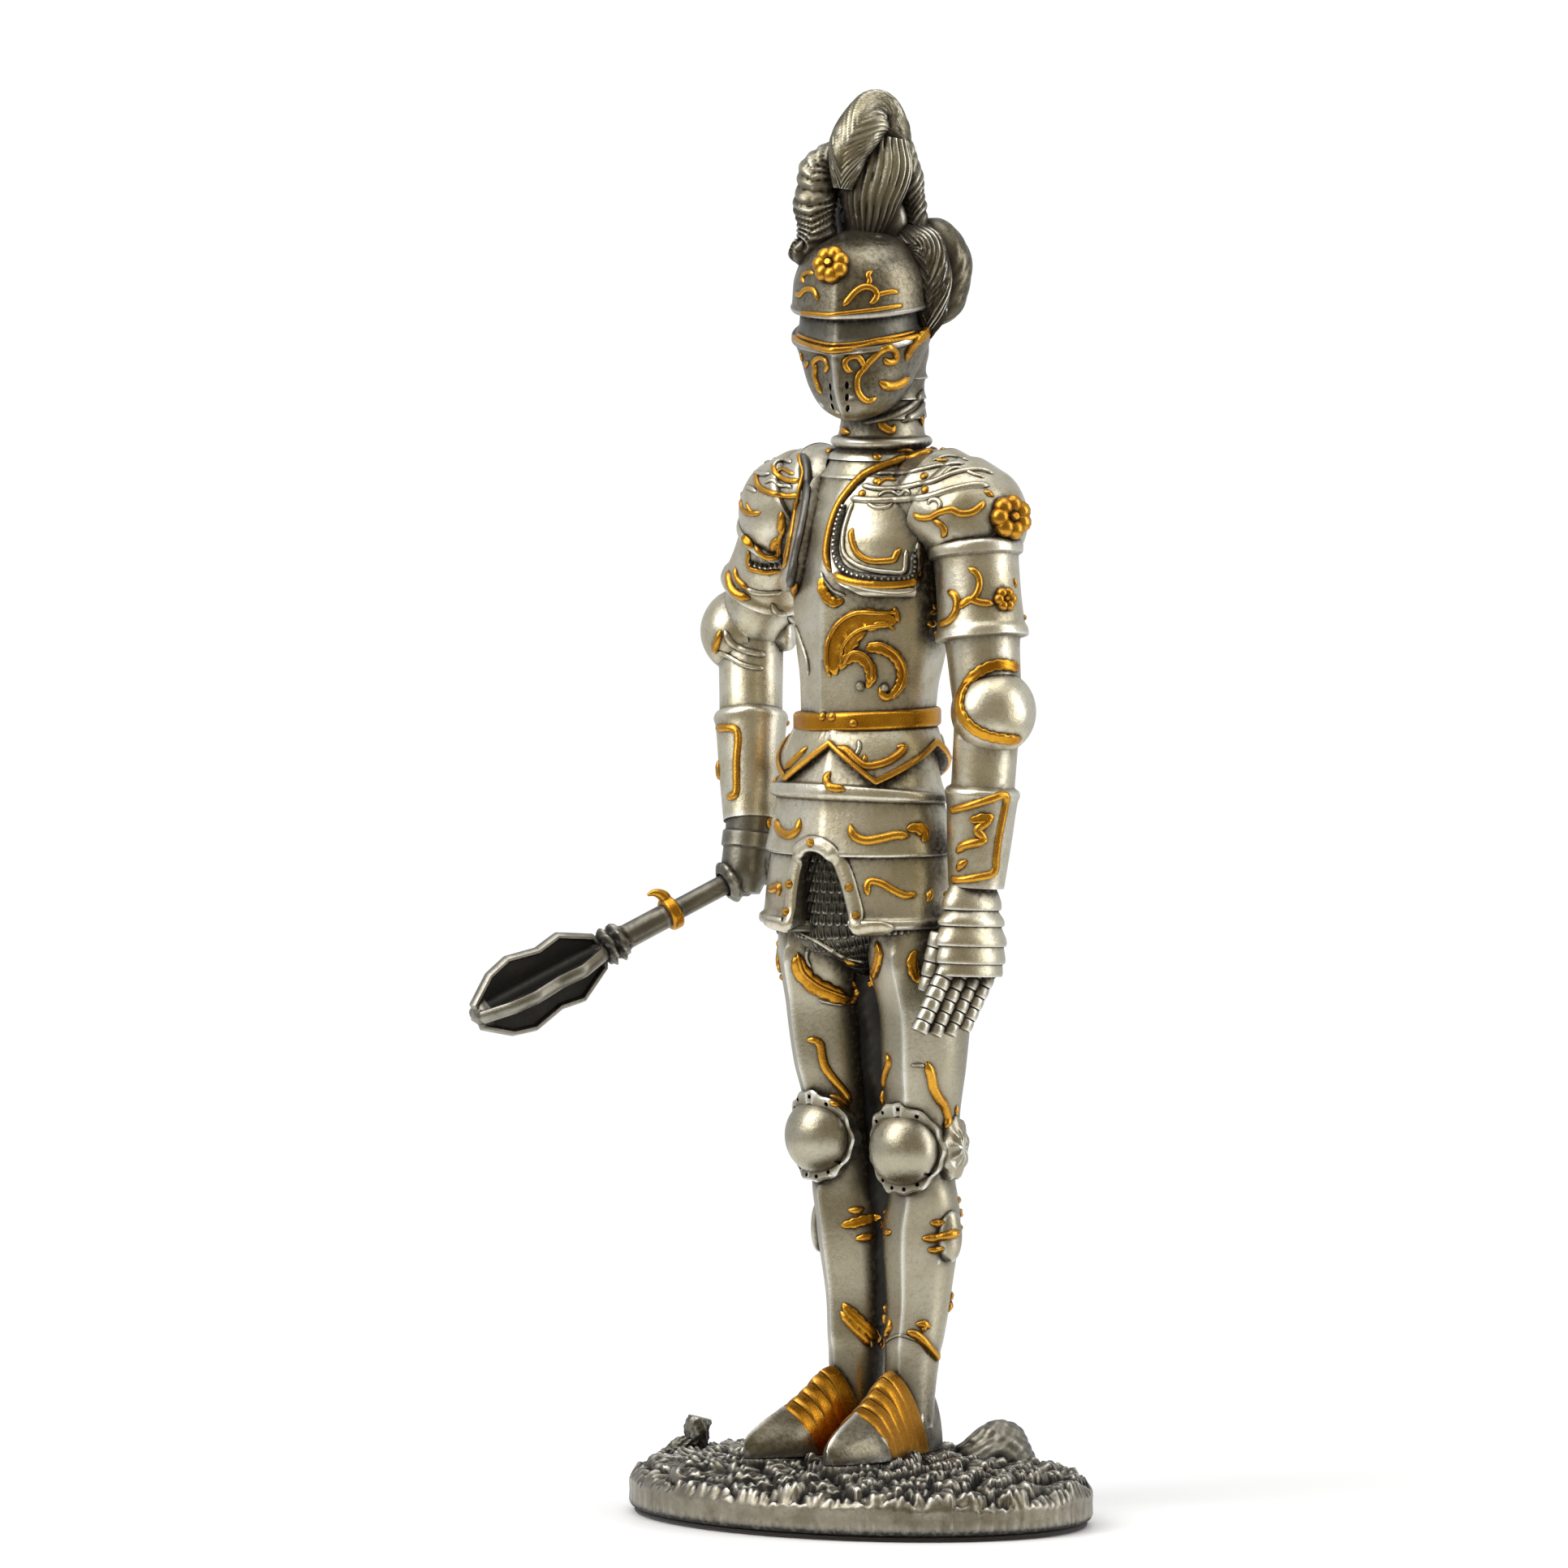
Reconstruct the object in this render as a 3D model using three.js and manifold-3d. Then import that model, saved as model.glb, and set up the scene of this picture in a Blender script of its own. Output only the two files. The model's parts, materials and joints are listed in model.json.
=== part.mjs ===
// A cast pewter figurine of a knight in full plate armour with a closed, plumed helmet. The knight
// stands on an oval mound of rough ground and holds a flanged mace out in the right fist. Units are
// millimetres, +Z is up, the knight faces -Y, and the knight's left is +X. The origin is the middle of
// the underside.
import * as THREE from "three";
import { mergeVertices } from "three/addons/utils/BufferGeometryUtils.js";
import Module from "manifold-3d";

const wasm = await Module();
wasm.setup();

// Heights of the landmarks of the figure above the surface that it stands on
const FELT_TOP = 0.8;
const RIM_TOP = 4.4;
const SOLE = 8.4;
const CALF = 36;
const KNEE = 47.1;
const HIP = 76;
const HEM = 75.2;
const LAME_TOP = 84.2;
const WAIST_LAME = 90.8;
const BELT = 101;
const CUFF = 92.8;
const LEFT_ELBOW = 102.6;
const RIGHT_ELBOW = 110.6;
const CHEST = 118;
const SHOULDER = 124;
const COLLAR = 131.5;
const NECK = 136;
const CHIN = 140;
const SIGHT = 149.6;
const BROW = 152.3;
const CROWN = 162.6;
const PLUME_TOP = 180;

// Half the length and half the depth of the oval base, the gap that pieces resting on one another
// keep, and the smallest step that the solids show
const BASE_WIDE = 32.1;
const BASE_DEEP = 23.8;
const GAP = 0.3;
const SMALLEST = 0.08;

// How far each part of the body is turned from the front, towards the knight's left, in degrees
const HEAD_TURN = 22;
const CHEST_TURN = -4;
const HIP_TURN = 8;
const TOE_TURN = 7;

// How far behind the middle of the base each part of the body stands
const HIPS_BACK = 0;
const WAIST_BACK = 1.4;
const NECK_BACK = 4.3;

const LEFT = 1;
const RIGHT = -1;
const UP = new THREE.Vector3(0, 0, 1);
const { cos, sin, PI, abs, max, min, hypot, floor } = Math;

const radians = THREE.MathUtils.degToRad;
const point = (x, y, z) => new THREE.Vector3(x, y, z);
const facing = (turn) => point(0, -1, 0).applyAxisAngle(UP, radians(turn));
const beside = (turn) => point(1, 0, 0).applyAxisAngle(UP, radians(turn));

// Solids

// A geometry as a manifold solid, with its shared vertices merged.
function solid(geometry) {
  const bare = new THREE.BufferGeometry().setAttribute("position", geometry.getAttribute("position"));
  bare.setIndex(geometry.index);
  const merged = mergeVertices(bare, 1e-4);
  const mesh = { numProp: 3, vertProperties: merged.attributes.position.array };
  mesh.triVerts = new Uint32Array(merged.index.array);
  const made = new wasm.Manifold(new wasm.Mesh(mesh));
  if (made.volume() > 0) return made;
  for (let i = 0; i < mesh.triVerts.length; i += 3)
    [mesh.triVerts[i + 1], mesh.triVerts[i + 2]] = [mesh.triVerts[i + 2], mesh.triVerts[i + 1]];
  return new wasm.Manifold(new wasm.Mesh(mesh));
}

function join(solids) {
  return solids.reduce((whole, next) => whole.add(next));
}

// The same solid without the sealed hollows that pieces pressed together leave inside.
function filled(made) {
  return join(made.decompose().filter((shell) => shell.volume() > 0));
}

// A closed skin over a row of rings of points, each ring with the same count, with a fan over each end.
function skin(rings) {
  const around = rings[0].length;
  const points = rings.flat();
  const faces = [];
  for (let row = 0; row + 1 < rings.length; row++)
    for (let i = 0; i < around; i++) {
      const a = row * around + i;
      const b = row * around + ((i + 1) % around);
      faces.push(a, b, b + around, a, b + around, a + around);
    }
  for (const [row, flip] of [[0, true], [rings.length - 1, false]]) {
    const middle = rings[row].reduce((sum, p) => sum.add(p), point(0, 0, 0)).divideScalar(around);
    const hub = points.push(middle) - 1;
    for (let i = 0; i < around; i++) {
      const a = row * around + i;
      const b = row * around + ((i + 1) % around);
      faces.push(hub, flip ? b : a, flip ? a : b);
    }
  }
  const geometry = new THREE.BufferGeometry().setFromPoints(points);
  geometry.setIndex(faces);
  return solid(geometry);
}

// A solid swept through stations. Each is [x, y, z, wide, deep, keel]: its middle, its half width, its
// half depth towards the front, and how far the ridge down its front stands out. A flat one has nothing
// behind its middle.
function sweep(stations, { around = 10, front = facing(0), flat = false } = {}) {
  const middles = stations.map(([x, y, z]) => point(x, y, z));
  const rings = stations.map(([, , , wide, deep = wide, keel = 0], n) => {
    const before = middles[max(n - 1, 0)];
    const after = middles[min(n + 1, middles.length - 1)];
    const along = after.clone().sub(before).normalize();
    const ahead = front.clone().addScaledVector(along, -front.dot(along)).normalize();
    const side = along.clone().cross(ahead);
    return Array.from({ length: around }, (_, i) => {
      const angle = (2 * PI * (i + 0.25 * (around % 4))) / around;
      const rise = flat ? max(0, sin(angle)) : sin(angle);
      const forward = deep * rise + keel * max(0, sin(angle)) ** 24;
      return middles[n].clone().addScaledVector(side, wide * cos(angle)).addScaledVector(ahead, forward);
    });
  });
  return skin(rings);
}

function ball(middle, wide, deep, high, around = 12) {
  const sphere = new THREE.SphereGeometry(1, around, max(4, around / 2));
  return solid(sphere.rotateX(PI / 2).scale(wide, deep, high).translate(middle.x, middle.y, middle.z));
}

// Stations along a straight way from a place, each given as [distance, half width, half depth].
function along(from, way, steps) {
  const at = (distance) => from.clone().addScaledVector(way, distance).toArray();
  return steps.map(([distance, ...size]) => [...at(distance), ...size]);
}

// Legs

// One leg from the hip to the ankle as [height, aside, back, half width, half depth, keel], with its
// knee guard and the strap round its calf standing out as steps.
const LEG = [
  [HIP + 1, 6.6, 1.0, 4.8, 6.0],
  [HIP - 1.6, 7.3, 1.3, 5.3, 6.3],
  [HIP - 6, 7.6, 2.0, 5.7, 6.5, 0.5],
  [HIP - 12, 7.8, 3.2, 5.35, 6.1, 0.6],
  [KNEE + 10, 7.4, 3.5, 5.0, 5.6, 0.6],
  [KNEE + 6.3, 7.0, 3.9, 4.7, 5.2, 0.5],
  [KNEE + 5.8, 6.9, 3.9, 5.3, 5.9, 0.3],
  [KNEE + 4.6, 6.8, 4.1, 4.6, 5.0],
  [KNEE - 4.4, 6.2, 4.9, 4.2, 4.7],
  [KNEE - 5.2, 6.2, 4.9, 5.0, 5.8, 0.3],
  [KNEE - 6.2, 6.1, 5.1, 4.4, 4.9, 0.4],
  [CALF + 0.8, 5.3, 5.8, 5.0, 5.6, 0.6],
  [CALF - 1.6, 5.2, 5.8, 4.6, 5.2, 0.6],
  [28, 4.8, 5.8, 4.1, 4.7, 0.6],
  [22.8, 4.5, 5.3, 3.6, 4.2, 0.6],
  [22.2, 4.5, 5.3, 3.95, 4.6, 0.6],
  [20.4, 4.4, 5.1, 3.4, 3.9, 0.4],
  [SOLE + 5, 4.2, 4.6, 3.3, 3.8],
];
const THIGH_GIRTH = { [LEFT]: 1.06, [RIGHT]: 0.93 };

function leg(side) {
  const stations = LEG.map(([z, aside, back, wide, deep, keel]) => {
    const girth = z > KNEE && z < HIP ? THIGH_GIRTH[side] : 1;
    return [side * aside, back, z, wide * girth, deep * girth, keel];
  });
  const limb = sweep(stations, { around: 10, front: facing(side * TOE_TURN) });
  return join([limb, knee(side), foot(side)]);
}

// The dark web of metal left between the legs, from the fork down to the ankles.
function web() {
  const stations = [
    [0, 2.6, HIP - 5, 2.6, 1.8],
    [0, 5.8, KNEE - 6, 3.2, 1.8],
    [0, 5.8, 24, 2.4, 1.4],
  ];
  return sweep(stations, { around: 6 });
}

// The dome of the knee guard, the fan plate on its outer side, and the bow of the strap below it.
function knee(side) {
  const dome = ball(point(side * 6.6, 1.9, KNEE), 4.25, 4.4, 4.6, 10);
  const fan = along(point(side * 9.6, 4.8, KNEE), point(side, 0, 0), [
    [0, 2.6, 3.6],
    [1.5, 2.9, 4.2],
    [2.6, 1.4, 2.0],
  ]);
  const bow = along(point(side * 9.2, 5.4, CALF - 0.6), point(side, -0.2, 0).normalize(), [
    [0, 1.6, 3.2],
    [1.6, 1.9, 3.0],
    [2.4, 0.8, 1.4],
  ]);
  return join([dome, sweep(fan, { around: 8, front: UP }), sweep(bow, { around: 6, front: UP })]);
}

// A pointed steel shoe with a flat sole, its overlapping plates stepping down from the instep to the
// toe cap.
function foot(side) {
  const heel = point(side * 4.1, 5.0, SOLE);
  const stations = along(heel, facing(side * TOE_TURN), [
    [-4.3, 1.6, 4.5],
    [-3.2, 3.0, 8.6],
    [0.4, 3.4, 10.2],
    [3.2, 3.5, 8.8],
    [3.3, 3.75, 9.0],
    [7.2, 3.75, 6.2],
    [7.3, 4.05, 6.4],
    [11.4, 3.8, 4.5],
    [11.5, 4.1, 4.8],
    [16.4, 2.7, 3.2],
    [20, 0.5, 1.1],
  ]);
  return sweep(stations, { around: 10, front: UP, flat: true });
}

// Hips and waist

// How far back the middle of the waist is at a height, where the body leans back above the hips.
function backAt(z) {
  return HIPS_BACK + max(0, z - WAIST_LAME) * 0.13;
}

// A place on an oval round the hips, at an angle out from the front towards the knight's left.
function onHips(angle, z, wide, deep) {
  return point(0, backAt(z), z)
    .addScaledVector(beside(HIP_TURN), wide * sin(angle))
    .addScaledVector(facing(HIP_TURN), deep * cos(angle));
}

// The arch in the front of the skirt, as a flat outline standing on its foot.
function arch(half, top) {
  const outline = new THREE.Shape();
  outline.moveTo(-half, HEM - 2);
  outline.bezierCurveTo(-half * 0.8, top - 2.4, -half * 0.55, top, 0, top);
  outline.bezierCurveTo(half * 0.55, top, half * 0.8, top - 2.4, half, HEM - 2);
  outline.closePath();
  return outline;
}

// A flat outline in the plane of the hips, stood up and pushed out to the front between two distances.
function pushed(outline, near, far) {
  const extent = { depth: far - near, bevelEnabled: false, curveSegments: 5 };
  const slab = new THREE.ExtrudeGeometry(outline, extent);
  slab.translate(0, 0, near).rotateX(PI / 2);
  slab.rotateZ(radians(HIP_TURN)).translate(0, HIPS_BACK, 0);
  return solid(slab);
}

// Three flared lames, each overlapping the next one down, with an arch over the fork of the legs.
function skirt() {
  const stations = [
    [HEM, 12.2, 9.7],
    [HEM + 0.01, 13.0, 10.5],
    [HEM + 1.4, 12.8, 10.3],
    [LAME_TOP, 11.8, 9.4],
    [LAME_TOP + 0.01, 12.4, 10.0],
    [WAIST_LAME, 11.1, 8.9],
    [WAIST_LAME + 0.01, 11.6, 9.4],
    [BELT - 0.6, 8.6, 7.6],
  ].map(([z, wide, deep]) => [0, backAt(z), z, wide, deep, 0.4]);
  const shape = { around: 16, front: facing(HIP_TURN) };
  const proud = stations.map(([x, y, z, wide, deep]) => [x, y, z, wide + 0.9, deep + 0.9]);
  const band = pushed(arch(4.9, LAME_TOP + 2.0), 6, 12).intersect(sweep(proud, shape));
  return sweep(stations, shape).add(band).subtract(pushed(arch(3.6, LAME_TOP + 0.6), 5.6, 14));
}

// The plate under the belt, whose lower edge is a row of seven points round the hips.
function zigzag() {
  const points = 7;
  const first = radians(-14.6);
  const ring = (low, high, out) =>
    Array.from({ length: points * 4 }, (_, n) => {
      const toPeak = abs(((n + 2) % 4) - 2) / 2;
      const z = low + (high - low) * toPeak;
      const share = (z - WAIST_LAME) / (BELT - WAIST_LAME);
      const angle = first + (2 * PI * n) / (points * 4);
      return onHips(angle, z, 11.4 - 2.5 * share + out, 9.2 - 1.4 * share + out);
    });
  return skin([
    ring(93.4, 97.8, -1.2),
    ring(93.2, 97.6, 1.2),
    ring(BELT - 1, BELT - 1, 0.5),
    ring(BELT, BELT, -0.6),
  ]);
}

// The mail under the skirt, showing in the arch and between the thighs.
function mail() {
  const stations = [
    [0.4, 2.4, HIP - 7, 1.6, 2.4],
    [0.4, 1.8, HIP - 4, 4.6, 5.0],
    [0, 0.8, HIP, 9.6, 7.6],
    [0, HIPS_BACK, LAME_TOP + 2, 9.8, 8.0],
  ];
  return sweep(stations, { around: 12, front: facing(HIP_TURN) });
}

function belt() {
  const stations = [
    [BELT - 1.4, 8.6, 7.8],
    [BELT - 1.3, 9.4, 8.6],
    [BELT + 1.1, 9.4, 8.6],
    [BELT + 1.2, 8.6, 7.8],
  ].map(([z, wide, deep]) => [0, WAIST_BACK, z, wide, deep]);
  return sweep(stations, { around: 18, front: facing(HIP_TURN) });
}

// Chest and neck

// The breastplate as [height, half width, half depth, back].
const BREAST = [
  [BELT - 2, 8.6, 8.0, 1.5],
  [BELT + 4, 8.9, 8.4, 1.8],
  [CHEST - 8, 9.9, 8.9, 2.2],
  [CHEST, 10.9, 9.2, 2.8],
  [SHOULDER, 11.0, 8.6, 3.4],
  [SHOULDER + 4, 10.2, 7.4, 3.9],
  [COLLAR, 7.6, 6.2, 4.2],
];

function torso() {
  const stations = BREAST.map(([z, wide, deep, back]) => [0, back, z, wide, deep, z < COLLAR ? 0.7 : 0]);
  return sweep(stations, { around: 16, front: facing(CHEST_TURN) });
}

// A point off the breastplate, at an angle out from its middle to the knight's left, and a height.
function onBreast(angle, z, out = 0) {
  const above = max(1, BREAST.findIndex(([height]) => height >= z));
  const [low, high] = [BREAST[above - 1], BREAST[above]];
  const share = (z - low[0]) / (high[0] - low[0]);
  const [, wide, deep, back] = low.map((value, n) => value + share * (high[n] - value));
  return point(0, back, z)
    .addScaledVector(beside(CHEST_TURN), (wide + out) * sin(radians(angle)))
    .addScaledVector(facing(CHEST_TURN), (deep + out) * cos(radians(angle)));
}

// The raised front wing of a shoulder guard on the breast: a curved plate with a rolled border.
function wing(side) {
  const shares = [0, 0.25, 0.5, 0.75, 1];
  const ring = (z, inner, outer, out) => {
    const angles = shares.map((share) => side * (inner + (outer - inner) * share));
    const outside = angles.map((angle) => onBreast(angle, z, out));
    const inside = angles.reverse().map((angle) => onBreast(angle, z, -1));
    return [...outside, ...inside];
  };
  return skin([
    ring(CHEST - 2.2, 19, 64, 0.9),
    ring(CHEST - 1.6, 15, 66, 1.7),
    ring(CHEST - 0.4, 12, 66, 1.7),
    ring(CHEST + 0.2, 11.5, 66, 1.2),
    ring(SHOULDER, 11, 66, 1.2),
    ring(COLLAR - 2, 14, 66, 1.6),
    ring(COLLAR, 26, 60, 1.4),
  ]);
}

// Stacked collars of the neck guard, flared at the foot and at the flange below the chin.
function gorget() {
  const stations = [
    [COLLAR - 3, 9.8, 7.4],
    [COLLAR - 0.6, 7.8, 6.8],
    [COLLAR + 2.6, 6.2, 6.0],
    [NECK - 1.2, 5.6, 5.5],
    [NECK - 0.6, 6.3, 6.2],
    [NECK + 0.2, 5.5, 5.5],
    [NECK + 2.6, 5.5, 5.6],
    [NECK + 2.7, 5.9, 5.9],
    [NECK + 5.4, 5.9, 5.9],
    [NECK + 5.5, 6.2, 6.2],
    [NECK + 10, 6.5, 6.5],
  ].map(([z, wide, deep]) => [0, NECK_BACK - max(0, z - NECK) * 0.08, z, wide, deep]);
  return sweep(stations, { around: 12, front: facing(HEAD_TURN / 2) });
}

// Head

// A place in the head: how far to the knight's left of its middle, how far ahead of it, and its height.
function inHead(aside, ahead, z) {
  const p = point(0, 0.8, z).addScaledVector(beside(HEAD_TURN), aside);
  return p.addScaledVector(facing(HEAD_TURN), ahead).toArray();
}

// The closed helmet: skull, brow, the recessed sight and the keeled face guard down to the chin.
function helmet() {
  const stations = [
    [CHIN - 0.6, 4.4, 1.6, 2.2, 0.3],
    [CHIN + 0.8, 2.9, 4.3, 4.9, 0.6],
    [CHIN + 3.4, 1.2, 6.8, 7.8, 0.8],
    [SIGHT - 2.5, 0.1, 8.6, 9.8, 0.8],
    [SIGHT - 1.9, 0.1, 8.9, 10.2, 0.8],
    [SIGHT - 1.4, 0, 8.2, 9.4, 0.5],
    [BROW - 0.8, 0, 8.3, 9.4, 0.5],
    [BROW - 0.6, 0, 9.0, 10.2, 0.5],
    [BROW + 3.0, -0.1, 8.9, 10.0, 0.3],
    [BROW + 6.4, -0.2, 7.6, 8.7, 0.2],
    [CROWN - 1.4, -0.3, 4.8, 5.7],
    [CROWN, -0.4, 1.3, 1.6],
  ].map(([z, ahead, wide, deep, keel]) => [...inHead(0, ahead, z), wide, deep, keel]);
  return sweep(stations, { around: 16, front: facing(HEAD_TURN) });
}

// Feathers of the plume. Each station is [aside, ahead, height, half width, half thickness] in the head.
const CREST = [
  [-0.4, -1.2, CROWN - 2.6, 2.8, 2.6],
  [0.2, -2.0, PLUME_TOP - 14, 4.4, 2.9],
  [1.0, -2.5, PLUME_TOP - 8.6, 4.6, 2.9],
  [1.6, -1.7, PLUME_TOP - 4.6, 3.8, 2.6],
  [1.5, 0.2, PLUME_TOP - 2.3, 3.0, 2.1],
  [0.2, 2.0, PLUME_TOP - 4.0, 2.9, 1.9],
  [-1.4, 2.8, PLUME_TOP - 8.0, 2.5, 1.8],
  [-2.0, 3.0, PLUME_TOP - 12.4, 1.1, 1.0],
];
const RIGHT_LOCK = [
  [-0.8, -0.6, CROWN + 1, 2.0, 1.8],
  [-3.4, 0.2, PLUME_TOP - 8.4, 2.1, 1.8],
  [-5.6, 1.2, PLUME_TOP - 10.4, 2.4, 2.0],
  [-6.0, 1.6, PLUME_TOP - 14.4, 2.6, 2.1],
  [-5.7, 2.2, PLUME_TOP - 18.2, 2.3, 2.0],
  [-6.9, 3.0, PLUME_TOP - 20.4, 1.9, 1.6],
  [-8.6, 3.2, PLUME_TOP - 19.8, 0.9, 0.9],
];
const LEFT_LOCK = [
  [1.6, -2.6, CROWN - 1, 1.8, 1.6],
  [3.8, -3.0, PLUME_TOP - 7.6, 1.6, 1.5],
  [5.0, -3.0, PLUME_TOP - 11.6, 1.7, 1.5],
  [5.7, -2.6, PLUME_TOP - 15.6, 1.6, 1.4],
  [7.0, -2.0, PLUME_TOP - 18.6, 1.3, 1.2],
];
const SIDE_FEATHER = [
  [4.6, -1.2, CROWN - 1.6, 2.0, 1.6],
  [8.0, 0.6, CROWN - 2.4, 2.4, 1.7],
  [9.0, 1.0, CROWN - 6.4, 2.4, 1.7],
  [8.9, 1.2, CROWN - 10.6, 1.9, 1.4],
  [8.5, 1.6, CROWN - 13.6, 0.5, 0.5],
];
const BACK_FEATHER = [
  [3.6, -4.0, CROWN - 2.4, 2.2, 2.0],
  [7.8, -4.2, CROWN - 1.4, 2.6, 2.4],
  [10.2, -3.4, CROWN - 5.0, 2.8, 2.7],
  [9.8, -3.0, CROWN - 9.0, 2.4, 2.4],
  [8.0, -2.6, CROWN - 11.8, 1.1, 1.1],
];

// A feather as a curved lobe, swelling and narrowing along its length where the barbs clump.
function feather(places) {
  const middles = places.map(([aside, ahead, z]) => point(...inHead(aside, ahead, z)));
  const line = new THREE.CatmullRomCurve3(middles);
  const spans = places.length - 1;
  const steps = floor(spans * 1.4) + 1;
  const stations = Array.from({ length: steps + 1 }, (_, n) => {
    const reached = (n / steps) * spans;
    const from = min(spans - 1, floor(reached));
    const [before, after] = [places[from], places[from + 1]];
    const swell = n % 2 ? 1.07 : 0.93;
    const size = [3, 4].map((i) => swell * (before[i] + (after[i] - before[i]) * (reached - from)));
    return [...line.getPoint(n / steps).toArray(), ...size];
  });
  return sweep(stations, { around: 7, front: facing(HEAD_TURN) });
}

function plume() {
  const places = [CREST, RIGHT_LOCK, LEFT_LOCK, SIDE_FEATHER, BACK_FEATHER];
  return join(places.map(feather));
}

// Shoulders, arms and hands

// A shoulder guard: lames stepping out from the collar to a dome over the joint, with a rosette at its end.
function pauldron(side) {
  const stations = [
    [5.0, 6.4, 5.0, 4.6],
    [7.3, 5.6, 6.7, 5.9],
    [7.5, 5.4, 7.2, 6.4],
    [10.3, 4.4, 7.4, 6.3],
    [10.5, 4.2, 7.9, 6.8],
    [14.8, 2.3, 7.7, 6.8],
    [17.4, 1.4, 6.4, 6.0],
    [19.3, 0.9, 4.6, 4.4],
    [20.3, 0.7, 2.2, 2.2],
  ].map(([aside, rise, deep, high]) => [side * aside, 4.6, SHOULDER + rise, deep, high]);
  const rose = along(point(side * 18.8, 3.2, SHOULDER + 1.6), point(side, -0.3, 0.1).normalize(), [
    [-1, 2.6],
    [1.0, 2.6],
    [1.7, 1.6],
    [1.9, 0.7],
  ]);
  return join([sweep(stations, { around: 12, front: UP }), sweep(rose, { around: 6, front: UP })]);
}

// The middle of each arm at its joints, and the way that the cap over the elbow faces.
const ARMS = {
  [LEFT]: {
    shoulder: point(15.4, 3.4, SHOULDER),
    elbow: point(18.9, 1.6, LEFT_ELBOW),
    wrist: point(18.0, 0.4, 80.6),
    capFacing: point(0.918, -0.362, 0),
  },
  [RIGHT]: {
    shoulder: point(-15.4, 4.3, SHOULDER),
    elbow: point(-23.6, 7.8, RIGHT_ELBOW),
    wrist: point(-19.2, 2.2, 87),
    capFacing: point(-0.96, -0.28, 0),
  },
};

// Stations along a limb between two joints, each given as [share of the way, radius].
function between(from, to, radii) {
  return radii.map(([share, radius]) => [...from.clone().lerp(to, share).toArray(), radius]);
}

function arm(side) {
  const { shoulder, elbow, wrist, capFacing } = ARMS[side];
  const upper = between(shoulder, elbow, [
    [0.02, 5.0],
    [0.03, 5.9],
    [0.12, 5.9],
    [0.13, 5.3],
    [0.56, 5.8],
    [0.58, 4.7],
    [0.86, 4.4],
    [1.1, 4.1],
  ]);
  const cuff = side === LEFT ? (LEFT_ELBOW - CUFF) / (LEFT_ELBOW - wrist.z) : 0.44;
  const lower = between(elbow, wrist, [
    [-0.12, 4.2],
    [cuff - 0.02, 4.0],
    [cuff, 4.7],
    [cuff + 0.06, 4.45],
    [cuff + 0.3, 4.0],
    [1, 3.5],
  ]);
  const cap = along(elbow, capFacing, [
    [-1.4, 4.6],
    [1.8, 5.3],
    [3.0, 4.9],
    [5.2, 3.5],
    [6.3, 1.5],
  ]);
  const lugs = along(elbow.clone().addScaledVector(capFacing, -3.6), capFacing, [[-2.2, 1.3], [0, 2.4]]);
  const joint = [sweep(cap, { front: UP }), sweep(lugs, { around: 6, front: UP })];
  return join([sweep(upper), sweep(lower), ...joint]);
}

// A finger as a row of plates like beads, from its knuckle to its tip.
function finger(from, to, radius, plates) {
  const stations = [];
  for (let n = 0; n <= plates * 2; n++) {
    const share = n / (plates * 2);
    const size = radius * (1 - 0.14 * share) * (n % 2 ? 1.08 : 0.88);
    stations.push([...from.clone().lerp(to, share).toArray(), size]);
  }
  return sweep(stations, { around: 6, front: point(0.9, -0.3, 0.2).normalize() });
}

// The open left hand: curved back plates, four fingers hanging, and the thumb in front of them.
function openHand() {
  const { wrist } = ARMS[LEFT];
  const across = point(0.35, 0.94, 0).normalize();
  const plates = [
    [1, 3.5, 3.0],
    [-2.4, 4.4, 3.5],
    [-2.9, 4.1, 3.1],
    [-6.2, 4.9, 3.5],
    [-6.7, 4.5, 3.1],
    [-10.4, 4.8, 2.8],
    [-11.2, 4.3, 2.0],
  ].map(([rise, wide, deep]) => [wrist.x - 0.1, wrist.y - 0.2 + rise * 0.06, wrist.z + rise, deep, wide]);
  const back = sweep(plates, { around: 10, front: across });
  const knuckles = wrist.clone().add(point(0, -0.9, -10.2));
  const fingers = [-1.5, -0.5, 0.5, 1.5].map((place) => {
    const from = knuckles.clone().addScaledVector(across, place * 2.2);
    const reach = point(-1.4, -3.3, -7.2 + 0.4 * abs(place));
    return finger(from, knuckles.clone().addScaledVector(across, place * 2.05).add(reach), 1.1, 2);
  });
  const root = wrist.clone().addScaledVector(across, -4.3).add(point(-0.8, 0, -5.6));
  const thumb = finger(root, root.clone().add(point(-1.4, -1.0, -6.8)), 1.25, 2);
  return join([back, ...fingers, thumb]);
}

// The mace: where the right fist holds it, the way that it points, and its distances from the fist.
const GRIP = point(-19.2, 0.9, 80.4);
const MACE_DIP = 24.6;
const MACE_OUT = 28;
const MACE_WAY = facing(0).applyAxisAngle(beside(0), radians(MACE_DIP)).applyAxisAngle(UP, -radians(MACE_OUT));
const BUTT = -4.6;
const HEAD_START = 20;
const HEAD_LENGTH = 21.6;
const SHAFT_RADIUS = 1.3;
const BLADES = 4;
const BLADE_THICK = 1.3;
const BLADE_TURN = 40;

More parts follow.
